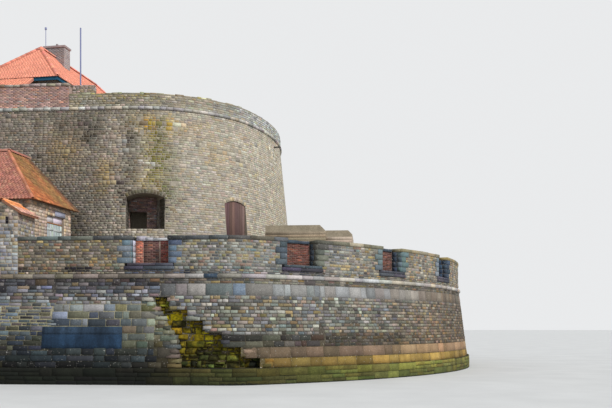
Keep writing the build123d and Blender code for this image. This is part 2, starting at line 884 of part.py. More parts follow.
def house_shutters():
    """A fixed panel over two leaves, seated in the window opening."""
    x0 = house_overhang + shutter_setback
    x1 = x0 + shutter_thickness
    split = shutter_head - shutter_transom
    middle = shutter_from + shutter_width / 2
    top = block(x0, x1, shutter_from, shutter_from + shutter_width, split + shutter_gap, shutter_head)
    left = block(x0, x1, shutter_from, middle - shutter_gap / 2, shutter_sill, split)
    right = block(x0, x1, middle + shutter_gap / 2, shutter_from + shutter_width, shutter_sill, split)
    return [top, left, right]


def house_door_leaf():
    y1 = house_back_cut - house_overhang - door_leaf_setback
    return block(house_door_from, house_door_from + door_width, y1 - door_leaf, y1, terrace_level,
                 terrace_level + door_height)


# Annexe

def annexe_body():
    """Outer form of the ruined annexe, seen from the sea flank."""
    corners = [
        (annexe_left_x, cordon_top), (annexe_right_x, cordon_top), (annexe_right_x, annexe_eave_top),
        (annexe_ridge_x, annexe_ridge_top), (annexe_ridge_x - annexe_flat_step, annexe_flat_top),
        (annexe_left_x, annexe_flat_top),
    ]
    profile = Plane.XZ * Face(Wire.make_polygon([Vector(x, z, 0) for x, z in corners], close=True))
    return Pos(0, parapet_face_y, 0) * extrude(profile, amount=parapet_thickness, dir=(0, 1, 0))


def annexe_walls():
    room = block(annexe_left_x + annexe_wall, annexe_right_x - annexe_wall, parapet_face_y + annexe_wall,
                 parapet_face_y + parapet_thickness + cut_slack, cordon_top, big)
    slit_left = annexe_right_x - slit_from_side
    slit = block(slit_left, slit_left + slit_width, parapet_face_y - cut_slack,
                 parapet_face_y + annexe_wall + cut_slack, slit_sill, slit_sill + slit_height)
    return annexe_body() - room - slit


def annexe_roof():
    """Tiled slope over the seaward half, on the wall tops."""
    fall = (annexe_ridge_top - annexe_eave_top) / annexe_ridge_from_side
    end = annexe_right_x + annexe_eave_overhang
    end_z = annexe_eave_top - annexe_eave_overhang * fall
    thick = annexe_tile_thickness
    corners = [
        (annexe_ridge_x, annexe_ridge_top), (end, end_z), (end, end_z + thick),
        (annexe_ridge_x, annexe_ridge_top + thick),
    ]
    profile = Plane.XZ * Face(Wire.make_polygon([Vector(x, z, 0) for x, z in corners], close=True))
    return Pos(0, parapet_face_y - annexe_verge, 0) * \
        extrude(profile, amount=parapet_thickness + annexe_verge, dir=(0, 1, 0))


def save_all(node, pieces):
    """Write like pieces that stand apart as one named node."""
    save(node, Compound(children=[solid for piece in pieces for solid in piece.solids()]))


def write_battery():
    save("foundation", foundation())
    save("terreplein", terreplein())
    ring = escarp_ring()
    bow = bow_zone()
    gorge_line = -battery_half_length + escarp_thickness
    gorge = block(-big, gorge_line, -big, big, -cut_slack, big)
    near = block(-big, big, -big, 0, -cut_slack, big)
    landward_part = block(gorge_line, shoulder_x - shoulder_panel_length, -big, 0, -cut_slack, big)
    body = ring - bow - gorge
    save("escarp_near_flank", body & landward_part)
    save("escarp_breached_shoulder", ((body & near) - landward_part) - breach())
    save("escarp_bow", ring & bow)
    save("escarp_far_flank", body - near)
    save("escarp_gorge", ring & gorge)
    save("battery_cordon", cordon_ring(battery_face, escarp_top))
    parapet = parapet_ring() - annexe_zone(cordon_top - cut_slack)
    coping = coping_ring() - annexe_zone(cordon_top)
    for cut in at_embrasures(embrasure_gap()):
        parapet -= cut
        coping -= cut
    for cut in at_embrasures(embrasure_sill()):
        parapet -= cut
    body = parapet - bow - gorge
    save("parapet_near_flank", body & near)
    save("parapet_bow", parapet & bow)
    save("parapet_far_flank", body - near)
    save("parapet_gorge", parapet & gorge)
    save("merlon_copings", coping)
    save_all("embrasure_sills", at_embrasures(embrasure_sill()))
    save_all("embrasure_infills", at_embrasures(embrasure_infill()))
    save_all("infill_capstones", at_embrasures(infill_cap()))
    save("shelter_walls", shelter_walls())
    save("shelter_roof", shelter_roof())


def write_keep():
    ring = keep_ring()
    for cut in four_ways(recess_cut()) + four_ways(boarded_cut()):
        ring -= cut
    between = (recess_station + recess_width / 2 + boarded_station - boarded_width / 2) / 2
    bow = block(keep_centre_x + between, big, -big, big, 0, big)
    stern = block(-big, keep_centre_x - between, -big, big, 0, big)
    near = block(-big, big, -big, 0, 0, big)
    flanks = ring - bow - stern
    save("keep_wall_near_bow", ring & bow & near)
    save("keep_wall_far_bow", (ring & bow) - near)
    save("keep_wall_near_flank", flanks & near)
    save("keep_wall_far_flank", flanks - near)
    save("keep_wall_stern", ring & stern)
    save("roof_spout", roof_spout(ring))
    save("keep_cordon", cordon_ring(keep_face, keep_wall_top))
    parapet = keep_parapet()
    brick_side = block(-big, keep_centre_x + brick_parapet_end, -big, big, 0, big)
    save("keep_parapet_stone", parapet - brick_side - block(-big, big, -big, big, keep_parapet_top, big))
    save("keep_parapet_brick", parapet & brick_side)
    coping = plan_ring(keep_face, brick_coping_overhang, -keep_parapet_thickness - brick_coping_overhang,
                       brick_parapet_top, brick_parapet_top + brick_coping_height)
    save("brick_parapet_coping", coping & brick_side)
    save("keep_parapet_stub", stub_wall())
    save("keep_floor", keep_slab(keep_floor_top, keep_floor_thickness))
    save("keep_roof_terrace", keep_slab(keep_roof_top, keep_roof_thickness))
    save_all("recess_screens", four_ways(recess_screen()))


def write_guardhouse():
    save("guardhouse_walls", guard_place(guard_walls()))
    save_all("guardhouse_roof", [guard_place(guard_roof()), guard_place(guard_skirt())])
    save("guardhouse_fascia", guard_place(guard_fascia() - guard_roof()))
    frames = [guard_window_frame(side)[0] for side in (-1, 1)]
    panes = [pane for side in (-1, 1) for pane in guard_window_panes(side)]
    save_all("guardhouse_window_frames", [guard_place(frame) for frame in frames])
    save_all("guardhouse_windows", [guard_place(pane) for pane in panes])
    save("chimney", guard_place(chimney()))
    save("flagpole", flagpole())
    save("aerial", guard_place(aerial()))


def write_house():
    save("house_walls", house_place(house_walls()))
    save("house_roof", house_place(house_roof()))
    save_all("house_shutters", [house_place(piece) for piece in house_shutters()])
    save("annexe_walls", annexe_walls())
    save("annexe_roof", annexe_roof())


def write_doors():
    """Boards that close the upper doorways of the keep, and the plank doors of both houses."""
    doors = four_ways(boarded_door())
    doors.append(house_place(house_door_leaf()))
    doors.append(guard_place(guard_door_leaf()))
    save_all("plank_doors", doors)


write_battery()
write_keep()
write_guardhouse()
write_house()
write_doors()
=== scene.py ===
import bpy
import math
import numpy as np
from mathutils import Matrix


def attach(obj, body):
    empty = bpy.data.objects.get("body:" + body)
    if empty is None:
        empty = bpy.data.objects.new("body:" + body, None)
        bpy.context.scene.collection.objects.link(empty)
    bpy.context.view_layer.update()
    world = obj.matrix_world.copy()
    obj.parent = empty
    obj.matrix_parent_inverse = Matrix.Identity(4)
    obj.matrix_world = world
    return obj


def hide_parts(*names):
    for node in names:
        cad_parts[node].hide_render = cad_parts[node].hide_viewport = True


# Coastal fort, dressed for its photograph: stones, bricks, tiles and boards laid over the CAD bodies.
# Metres and radians. Colours are linear. Places on a curved wall are arc lengths along its plan line.

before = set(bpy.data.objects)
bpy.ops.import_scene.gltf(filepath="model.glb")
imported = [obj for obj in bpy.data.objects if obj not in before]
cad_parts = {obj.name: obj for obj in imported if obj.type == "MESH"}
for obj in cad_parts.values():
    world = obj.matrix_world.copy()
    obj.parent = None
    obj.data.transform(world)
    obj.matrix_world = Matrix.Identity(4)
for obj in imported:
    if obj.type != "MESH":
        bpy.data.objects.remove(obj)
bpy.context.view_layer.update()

# Plan of the battery, at the foot of its cordon
HALF_LENGTH = 19.19
HALF_WIDTH = 19.10
SHOULDER_RADIUS = 2.06
SHOULDER_TURN = math.radians(32.4)
NOSE_RADIUS = SHOULDER_RADIUS + (HALF_WIDTH - SHOULDER_RADIUS) / math.cos(SHOULDER_TURN)
NOSE_SET = (NOSE_RADIUS - SHOULDER_RADIUS) * math.sin(SHOULDER_TURN)
SHOULDER_X = HALF_LENGTH + NOSE_SET - NOSE_RADIUS
NOSE_ARC = SHOULDER_RADIUS * SHOULDER_TURN + NOSE_RADIUS * (math.pi / 2 - SHOULDER_TURN)
BACK_CORNER = -(SHOULDER_X + HALF_LENGTH)

# Plan of the keep, at its cordon
KEEP_X = -3.5375
KEEP_HALF = 9.81
KEEP_SIDE = 6.53
KEEP_TURN = math.radians(70.1)
KEEP_BOW = KEEP_SIDE + (KEEP_HALF - KEEP_SIDE) / math.cos(KEEP_TURN)
KEEP_FLANK = 4.37
KEEP_ARC = KEEP_FLANK + KEEP_SIDE * KEEP_TURN + KEEP_BOW * (math.pi / 2 - KEEP_TURN)

# Levels
FOOTING_TOP = 0.68
ESCARP_TOP = 4.37
TERRACE = 4.40
CORDON_TOP = 4.56
SILL_LOW = 4.74
SILL = 5.00
MERLON_TOP = 5.98
COPING_TOP = 6.15
KEEP_ROOF = 13.65
KEEP_TOP = 13.83
KEEP_CORDON_TOP = 14.02
KEEP_PARAPET_TOP = 14.67
BRICK_TOP = 15.15

# Wall faces
ESCARP_BATTER = 1 / 7.7
KEEP_BATTER = 1 / 10
FOOTING_STEP = 0.11
FOOTING_LEAN = 0.04
PARAPET_SET = 0.06
PARAPET_THICK = 1.75
KEEP_PARAPET_THICK = 0.90
OUTER_LIMIT = FOOTING_STEP + FOOTING_LEAN + (ESCARP_TOP - FOOTING_TOP) * ESCARP_BATTER - 0.002

# Annexe on the near flank, along X
ANNEXE_LEFT = -4.208
ANNEXE_RIGHT = -0.908
ANNEXE_MARGIN = 1.6

# Gun openings: distance along the battery line from the shoulder, and along Y on the gorge
OPENINGS = (-3.07, -9.87, -16.67, -23.47, 3.73, 9.46, 15.40)
NEAR_OPENINGS = [s for s in OPENINGS
                 if not ANNEXE_LEFT - ANNEXE_MARGIN < SHOULDER_X + s < ANNEXE_RIGHT + ANNEXE_MARGIN]
GORGE_OPENINGS = [-7.6, 0.0, 7.6]
OPENING_HALF = 0.80
OPENING_SPLAY = math.tan(math.radians(14)) / 2
INFILL_SET = 0.55
INFILL_THICK = 0.35

# Keep openings: distance along X from the middle of the keep, and heights
RECESS_X = 5.53
RECESS_HALF = 1.0
RECESS_SILL = 7.45
RECESS_SPRING = 9.13
RECESS_RISE = 0.23
BOARDED_X = 9.56
BOARDED_HALF = 0.78
BOARDED_SILL = 7.0
BOARDED_SPRING = 9.05
BOARDED_RISE = 0.21
BOARDED_SET = -0.377

# Buildings on the keep and the terrace, turned alike
HOUSE_TURN = math.radians(-5.5)
EAVES_OVER = 0.30
DOOR_HEIGHT = 2.05
GUARD_X = -5.5875
GUARD_Y = -0.35
GUARD_HALF_X = 2.60
GUARD_HALF_Y = 6.90
GUARD_OVER = 0.35
GUARD_EAVE = 16.43
GUARD_RISE = 2.67
GUARD_HIP = 3.00
HOUSE_X = SHOULDER_X - 8.76
HOUSE_Y = -HALF_WIDTH + 1.81
HOUSE_LENGTH = 9.0
HOUSE_WIDTH = 5.34
HOUSE_BACK = 4.6
HOUSE_EAVE = 8.03
HOUSE_RISE = 2.72
HOUSE_DOOR = 6.4


# Plan lines

def arc_line(run, out, half, side, turn, bow):
    """Line of a three-centred plan: straight before run 0, then a side arc, then a bow arc."""
    bend = side * turn
    angle = np.clip(run, 0, bend) / side + np.maximum(run - bend, 0) / bow
    on_bow = run > bend
    radius = np.where(on_bow, bow, side) + out
    x = np.where(on_bow, -(bow - side) * math.sin(turn), 0) + radius * np.sin(angle) + np.minimum(run, 0)
    y = np.where(on_bow, 0, side - half) - radius * np.cos(angle)
    return x, y


def battery_line(s, out):
    x, y = arc_line(s, out, HALF_WIDTH, SHOULDER_RADIUS, SHOULDER_TURN, NOSE_RADIUS)
    return SHOULDER_X + x, y


def gorge_line(s, out):
    return -HALF_LENGTH - out + 0 * s, -s


def keep_line(s, out):
    x, y = arc_line(np.abs(s) - KEEP_FLANK, out, KEEP_HALF, KEEP_SIDE, KEEP_TURN, KEEP_BOW)
    return KEEP_X + np.where(s < 0, -1, 1) * (KEEP_FLANK + x), y


def straight_line(x0, y0, heading):
    """Line from a point along a heading, with its outer side on the right."""
    along = (math.cos(heading), math.sin(heading))

    def line(s, out):
        return x0 + along[0] * s + along[1] * out, y0 + along[1] * s - along[0] * out
    return line


def local_line(place, x, y, turn):
    """Straight line from a point of a placed frame, turned from its X axis."""
    px, py, heading = place
    c, s = math.cos(heading), math.sin(heading)
    return straight_line(px + x * c - y * s, py + x * s + y * c, heading + turn)


def place_on(line, s, out):
    """Place and heading at a distance along a plan line."""
    x, y = line(np.array([s, s + 0.001]), out)
    return float(x[0]), float(y[0]), math.atan2(y[1] - y[0], x[1] - x[0])


def keep_station(x):
    """Distance along the keep line at a distance along X from its middle."""
    s = np.linspace(0, KEEP_ARC, 4000)
    return float(np.interp(x, keep_line(s, 0)[0] - KEEP_X, s))


# Wall faces

def escarp_face(z):
    return (ESCARP_TOP - z) * ESCARP_BATTER


def footing_face(z):
    return FOOTING_STEP + escarp_face(FOOTING_TOP) + FOOTING_LEAN * (1 - z / FOOTING_TOP)


def keep_face(z):
    return (KEEP_TOP - z) * KEEP_BATTER


def flat_face(z):
    return 0 * z


class Wall:
    """A masonry face: its plan line, its batter, and how far out a stone may stand."""

    def __init__(self, line, face=flat_face, mirrored=False, limit=None, turned=False):
        self.line = line
        self.face = face
        self.mirrored = mirrored
        self.limit = limit
        self.flipped = mirrored != turned

    def points(self, s, z, proud):
        out = self.face(z) + proud
        if self.limit is not None:
            out = np.minimum(out, self.limit)
        x, y = self.line(s, out)
        if self.mirrored:
            y = -y
        return np.stack([x, y, z + 0 * s], axis=-1)


def inward(line, depth, mirrored):
    """Wall whose outer side faces the other way, at a depth behind a plan line."""
    return Wall(lambda s, out: line(s, -depth - out), mirrored=mirrored, turned=True)


def quartered(line, mirrored, turned, inner=False):
    """Wall on a line of the near seaward quarter of the keep, carried to one of the four quarters."""

    def moved(s, out):
        x, y = line(s, -out if inner else out)
        return (2 * KEEP_X - x if turned else x), y
    return Wall(moved, mirrored=mirrored, turned=turned != inner)


def four_ways():
    """The near seaward quarter and its mirror images: (mirrored across the axis, turned end for end)."""
    return [(False, False), (True, False), (False, True), (True, True)]


def face_wall(a, b):
    """Plane wall face from point a to point b, with its outer side on the right, and its length."""
    heading = math.atan2(b[1] - a[1], b[0] - a[0])
    return Wall(straight_line(a[0], a[1], heading)), math.hypot(b[0] - a[0], b[1] - a[1])


def walk(corners):
    """Faces round a building, given its corners anticlockwise seen from above."""
    return [face_wall(a, b) for a, b in zip(corners, corners[1:] + corners[:1])]


def guard_point(x, y, z=0.0):
    c, s = math.cos(HOUSE_TURN), math.sin(HOUSE_TURN)
    return np.array([GUARD_X + c * x - s * y, GUARD_Y + s * x + c * y, z])


def house_point(x, y, z=0.0):
    """Point of the house: x landward along the front eave, y inward from it."""
    c, s = math.cos(HOUSE_TURN), math.sin(HOUSE_TURN)
    return np.array([HOUSE_X - c * x - s * y, HOUSE_Y - s * x + c * y, z])


NEAR_ESCARP = Wall(battery_line, escarp_face)
FAR_ESCARP = Wall(battery_line, escarp_face, mirrored=True)
GORGE_ESCARP = Wall(gorge_line, escarp_face)
FOOTING_NEAR = Wall(battery_line, footing_face, limit=OUTER_LIMIT)
FOOTING_FAR = Wall(battery_line, footing_face, mirrored=True, limit=OUTER_LIMIT)
FOOTING_GORGE = Wall(gorge_line, footing_face, limit=OUTER_LIMIT)


# Meshes of many blocks

class Heap:
    """Many small blocks gathered into one mesh, each with its own tone, and their random source."""

    def __init__(self, source):
        self.rng = np.random.default_rng(source)
        self.points = []
        self.faces = []
        self.tones = []
        self.size = 0

    def add(self, points, quads, tones, flipped=False):
        """points: blocks x corners x 3. quads: faces of one block. tones: blocks x 4."""
        count, corners = points.shape[:2]
        if flipped:
            quads = quads[:, ::-1]
        index = self.size + np.arange(count)[:, None, None] * corners + quads[None]
        self.points.append(points.reshape(-1, 3))
        self.faces.append(index.reshape(-1, 4))
        self.tones.append(np.repeat(tones, corners, axis=0))
        self.size += count * corners

    def build(self, name, material, replaced=()):
        points = np.concatenate(self.points).astype(np.float32)
        faces = np.concatenate(self.faces).astype(np.int32)
        tones = np.concatenate(self.tones).astype(np.float32)
        mesh = bpy.data.meshes.new(name)
        mesh.vertices.add(len(points))
        mesh.vertices.foreach_set("co", points.ravel())
        mesh.loops.add(faces.size)
        mesh.loops.foreach_set("vertex_index", faces.ravel())
        mesh.polygons.add(len(faces))
        mesh.polygons.foreach_set("loop_start", np.arange(len(faces), dtype=np.int32) * 4)
        mesh.update(calc_edges=True)
        layer = mesh.color_attributes.new("tone", "FLOAT_COLOR", "POINT")
        layer.data.foreach_set("color", tones.ravel())
        mesh.materials.append(material)
        piece = bpy.data.objects.new(name, mesh)
        bpy.context.collection.objects.link(piece)
        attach(piece, "root")
        if replaced:
            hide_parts(*replaced)


def block_grid(across, up):
    """Corner parameters and faces of a block front of across x up cells with its sides turned down."""
    u, v = np.meshgrid(np.linspace(0, 1, across + 1), np.linspace(0, 1, up + 1))
    index = np.arange(u.size).reshape(u.shape)
    front = np.stack([index[:-1, :-1], index[:-1, 1:], index[1:, 1:], index[1:, :-1]], axis=-1).reshape(-1, 4)
    rim = np.concatenate([index[0], index[1:-1, -1], index[-1, ::-1], index[1:-1, 0][::-1]])
    base = u.size + np.arange(len(rim))
    skirt = np.stack([base, np.roll(base, -1), np.roll(rim, -1), rim], axis=-1)
    return u.ravel(), v.ravel(), rim, np.concatenate([front, skirt])


def rows_side_by_side(*parts):
    return np.concatenate(parts, axis=1)


def lay(heap, wall, stones, tones, proud, joint, bevel=0.012, rough=0.3, cells=(1, 1), sink=0.02):
    """Lay blocks given as (start, end, low, high) on a wall."""
    rng = heap.rng
    u, v, rim, quads = block_grid(*cells)
    s0, s1, z0, z1 = [column[:, None] for column in stones.T]
    shrink = bevel * rng.uniform(0.5, 1.5, (len(stones), u.size))
    s = s0 + joint / 2 + shrink + (s1 - s0 - joint - 2 * shrink) * u
    z = z0 + joint / 2 + shrink + (z1 - z0 - joint - 2 * shrink) * v
    crown = 1 - 0.35 * np.maximum(np.abs(2 * u - 1), np.abs(2 * v - 1)) ** 4
    height = proud * crown * (1 + rough * rng.uniform(-1, 1, (len(stones), 1)))
    height = height + 0.25 * rough * proud * rng.uniform(-1, 1, (len(stones), u.size))
    rim_s = s0 + joint / 2 + (s1 - s0 - joint) * u[rim]
    rim_z = z0 + joint / 2 + (z1 - z0 - joint) * v[rim]
    points = wall.points(rows_side_by_side(s, rim_s), rows_side_by_side(z, rim_z),
                         rows_side_by_side(height, np.full(rim_s.shape, -sink)))
    heap.add(points, quads, tones, wall.flipped)


def bead(heap, wall, stones, low, radius, reach, tones):
    """Half-round string course stones."""
    u, v, rim, quads = block_grid(2, 6)
    s0, s1 = stones[:, :1], stones[:, 1:2]
    swell = radius * (1 + 0.05 * heap.rng.uniform(-1, 0, (len(stones), 1)))
    angle = -math.pi / 2 + math.pi * v
    s = s0 + 0.006 + (s1 - s0 - 0.012) * u
    z = low + radius + swell * np.sin(angle)
    out = reach - radius + swell * np.cos(angle) + 0.004 * heap.rng.uniform(-1, 1, s.shape)
    points = wall.points(rows_side_by_side(s, s[:, rim]), rows_side_by_side(z, z[:, rim]),
                         rows_side_by_side(out, np.full((len(stones), len(rim)), -0.05)))
    heap.add(points, quads, tones, wall.flipped)


def ring_quads(low, high):
    """Four side faces between two rings of four corners, numbered from low and from high."""
    return [(low + i, low + (i + 1) % 4, high + (i + 1) % 4, high + i) for i in range(4)]


def boxes(heap, wall, spans, bevel, tones):
    """Slabs given as (start, end, inner, outer, low, high), with their upper edges eased."""
    rng = heap.rng
    s0, s1, o0, o1, z0, z1 = [column[:, None] for column in spans.T]
    s = s0 + (s1 - s0) * np.array([0, 1, 1, 0])
    out = o0 + (o1 - o0) * np.array([1, 1, 0, 0])
    shoulder = z1 - bevel * rng.uniform(0.6, 1.6, (len(spans), 4))
    crown = z1 - 0.3 * bevel * rng.uniform(0, 1, s.shape)
    points = wall.points(rows_side_by_side(s, s, s + bevel * np.array([1, -1, -1, 1])),
                         rows_side_by_side(z0 + 0 * s, shoulder, crown),
                         rows_side_by_side(out, out, out + bevel * np.array([-1, -1, 1, 1])))
    quads = ring_quads(0, 4) + ring_quads(4, 8) + [(8, 9, 10, 11), (3, 2, 1, 0)]
    heap.add(points, np.array(quads), tones, wall.flipped)


def slab_spans(stones, joint, inner, outer, low, high):
    """Courses as spans for boxes, with their depth behind the wall line and shifts of their levels."""
    count = len(stones)
    return np.column_stack([stones[:, 0] + joint, stones[:, 1] - joint, np.broadcast_to(inner, count),
                            np.broadcast_to(outer, count), stones[:, 2] + low, stones[:, 3] + high])


def patches(heap, wall, corner_s, corner_z, tones, proud, joint, sink=0.02):
    """Blocks with any four corners, given anticlockwise from outside."""
    middle_s = corner_s.mean(axis=1, keepdims=True)
    middle_z = corner_z.mean(axis=1, keepdims=True)
    reach = np.hypot(corner_s - middle_s, corner_z - middle_z)
    base = 1 - joint / 2 / reach
    front = 1 - (joint / 2 + 0.012) / reach
    height = proud * (1 + 0.3 * heap.rng.uniform(-1, 1, (len(corner_s), 1))) + 0 * corner_s
    s = rows_side_by_side(middle_s + (corner_s - middle_s) * front, middle_s + (corner_s - middle_s) * base)
    z = rows_side_by_side(middle_z + (corner_z - middle_z) * front, middle_z + (corner_z - middle_z) * base)
    points = wall.points(s, z, rows_side_by_side(height, np.full(corner_s.shape, -sink)))
    heap.add(points, np.array([(0, 1, 2, 3)] + ring_quads(4, 0)), tones, wall.flipped)


# Courses

def at(value, place):
    """A plain value, or the one that a function gives at a place."""
    return value(place) if callable(value) else value


def cut_up(rng, left, right, length, spread):
    """Joints of a course whose stones have about one length."""
    count = max(1, round((right - left) / length))
    widths = 1 + spread * rng.uniform(-1, 1, count)
    return left + (right - left) * np.concatenate([[0], np.cumsum(widths) / widths.sum()])


def free_runs(start, end, gaps, z):
    """Stretches of a course that no opening takes."""
    runs = [(start, end)]
    for span in [gap(z) for gap in gaps]:
        if span is None:
            continue
        parts = []
        for a, b in runs:
            if span[0] > a:
                parts.append((a, min(b, span[0])))
            if span[1] < b:
                parts.append((max(a, span[1]), b))
        runs = [part for part in parts if part[1] - part[0] > 0.04]
    return runs


def courses(rng, levels, start, end, length, spread, ragged=0.0, gaps=()):
    """Stones of level courses as rows of (start, end, low, high)."""
    rows = []
    for low, high in zip(levels[:-1], levels[1:]):
        z = (low + high) / 2
        for a, b in free_runs(at(start, z), at(end, z), gaps, z):
            edges = cut_up(rng, a, b, length, spread)
            wobble = ragged * rng.uniform(-1, 1, (2, len(edges) - 1))
            rows.append(np.column_stack([edges[:-1], edges[1:], low + wobble[0], high + wobble[1]]))
    return np.concatenate(rows)


def mixed_courses(rng, levels, start, end, length, share, spread, ragged, gaps=()):
    """Level courses in which a share of the stretches have stones that rise through two courses."""
    rows = []
    for index in range(0, len(levels) - 1, 2):
        pair = levels[index:index + 3]
        if len(pair) < 3 or any(gap(z) for gap in gaps for z in pair):
            rows.append(courses(rng, pair, start, end, length, spread, ragged, gaps))
            continue
        z = (pair[0] + pair[-1]) / 2
        edges = cut_up(rng, at(start, z), at(end, z), 3 * length, 0.7)
        for a, b in zip(edges[:-1], edges[1:]):
            if rng.random() < share:
                rows.append(courses(rng, [pair[0], pair[-1]], a, b, 1.3 * length, spread, ragged))
            else:
                rows.append(courses(rng, pair, a, b, length, spread, ragged))
    return np.concatenate(rows)


def levels_between(low, high, height):
    return np.linspace(low, high, max(1, round((high - low) / height)) + 1)


def middle(stones):
    return (stones[:, 0] + stones[:, 1]) / 2, (stones[:, 2] + stones[:, 3]) / 2


def square_gap(left, right, low, high):
    return lambda z: (left, right) if low < z < high else None


def full_gap(left, right):
    """Gap of every course, whatever its height."""
    return lambda z: (left, right)


# Colour

def ramp(value, start, end):
    t = np.clip((value - start) / (end - start), 0, 1)
    return t * t * (3 - 2 * t)


def blend(a, b, t):
    return np.asarray(a) * (1 - t)[:, None] + np.asarray(b) * t[:, None]


def along(s, colour, *later):
    """Colour along a wall: a first one, then others that come in gradually, as (start, end, colour)."""
    colour = np.broadcast_to(colour, (len(s), 3))
    for start, end, other in later:
        colour = blend(colour, other, ramp(s, start, end))
    return colour


def by_height(z, knots):
    """Colour at a height, from (height, colour) pairs."""
    heights = [knot[0] for knot in knots]
    return np.stack([np.interp(z, heights, [knot[1][c] for knot in knots]) for c in range(3)], axis=-1)


def spot(s, z, centre, size):
    """Soft patch of a wall, 1 at its centre."""
    return np.exp(-((s - centre[0]) / size[0]) ** 2 - ((z - centre[1]) / size[1]) ** 2)


def softer(hues, share):
    """Hues brought nearer to plain grey, 0 for none of their colour."""
    return [(weight, tuple(1 + share * (factor - 1) for factor in hue)) for weight, hue in hues]


def speckle(rng, colour, hues):
    """Multiply stone colours by random hues that average to one."""
    share = np.array([entry[0] for entry in hues], dtype=float)
    factors = np.array([entry[1] for entry in hues], dtype=float)
    factors = factors / (share[:, None] * factors / share.sum()).sum(axis=0)
    return colour * factors[rng.choice(len(hues), len(colour), p=share / share.sum())]


def shades(heap, stones, colour, vary, hue, growth=0.0, hues=None):
    """Each stone's own shade of a colour, or of a colour by place, and a share of growth for the shader."""
    rng = heap.rng
    count = len(stones)
    if callable(colour):
        colour = colour(*middle(stones))
    colour = np.broadcast_to(colour, (count, 3))
    if hues:
        colour = speckle(rng, colour, hues)
    shade = np.exp(np.broadcast_to(vary, (count,))[:, None] * rng.normal(0, 1, (count, 1)))
    shift = 1 + hue * rng.normal(0, 1, (count, 3))
    growth = np.broadcast_to(growth, (count,))[:, None]
    return rows_side_by_side(np.clip(colour * shade * shift, 0.004, 0.95), growth)


# Finishes

class Finish:
    """A procedural finish under construction, with its texture coordinates and shader."""

    def __init__(self, name, roughness):
        self.material = bpy.data.materials.new(name)
        self.material.use_nodes = True
        self.nodes = self.material.node_tree.nodes
        self.links = self.material.node_tree.links
        self.shader = self.nodes["Principled BSDF"]
        self.shader.inputs["Roughness"].default_value = roughness
        self.shader.inputs["Specular IOR Level"].default_value = 0.25 if roughness > 0.8 else 0.5
        self.where = self.nodes.new("ShaderNodeTexCoord").outputs["Object"]

    def feed(self, node, inputs):
        """Link each input to another node's output, or set it to a value."""
        for name, value in inputs.items():
            if isinstance(value, bpy.types.NodeSocket):
                self.links.new(value, node.inputs[name])
            else:
                node.inputs[name].default_value = value

    def stretched(self, scale):
        node = self.nodes.new("ShaderNodeMapping")
        self.feed(node, {"Scale": scale, "Vector": self.where})
        return node.outputs["Vector"]

    def noise(self, scale, detail=4, rough=0.6, where=None):
        node = self.nodes.new("ShaderNodeTexNoise")
        self.feed(node, {"Scale": scale, "Detail": detail, "Roughness": rough, "Vector": where or self.where})
        return node.outputs["Fac"]

    def range(self, value, low, high, to_low, to_high):
        node = self.nodes.new("ShaderNodeMapRange")
        self.feed(node, {"Value": value, "From Min": low, "From Max": high,
                         "To Min": to_low, "To Max": to_high})
        return node.outputs["Result"]

    def math(self, operation, a, b):
        node = self.nodes.new("ShaderNodeMath")
        node.operation = operation
        self.feed(node, {0: a, 1: b})
        return node.outputs["Value"]

    def scaled(self, colour, factor):
        node = self.nodes.new("ShaderNodeVectorMath")
        node.operation = "SCALE"
        self.feed(node, {0: colour, "Scale": factor})
        return node.outputs["Vector"]

    def mix(self, factor, a, b):
        node = self.nodes.new("ShaderNodeMix")
        node.data_type = "RGBA"
        a, b = [(*value, 1) if isinstance(value, tuple) else value for value in (a, b)]
        self.feed(node, {"Factor": factor, "A": a, "B": b})
        return node.outputs["Result"]

    def tone(self):
        node = self.nodes.new("ShaderNodeAttribute")
        node.attribute_name = "tone"
        return node.outputs["Color"], node.outputs["Alpha"]

    def axis(self, name):
        node = self.nodes.new("ShaderNodeSeparateXYZ")
        self.feed(node, {0: self.where})
        return node.outputs[name]

    def heights(self, knots):
        """Colour by height above the ground."""
        low = knots[0][0]
        top = knots[-1][0]
        node = self.nodes.new("ShaderNodeValToRGB")
        self.feed(node, {0: self.range(self.axis("Z"), low, top, 0, 1)})
        stops = node.color_ramp.elements
        while len(stops) < len(knots):
            stops.new(0.5)
        for stop, (z, colour) in zip(stops, knots):
            stop.position = (z - low) / (top - low)
            stop.color = (*colour, 1)
        return node.outputs["Color"]

    def finish(self, colour, height, strength, depth):
        node = self.nodes.new("ShaderNodeBump")
        self.feed(node, {"Strength": strength, "Distance": depth, "Height": height})
        self.feed(self.shader, {"Base Color": colour, "Normal": node.outputs["Normal"]})
        return self.material


PATCH_SCALE = 1.7
BUMP_STRENGTH = 0.5
BUMP_DEPTH = 0.006


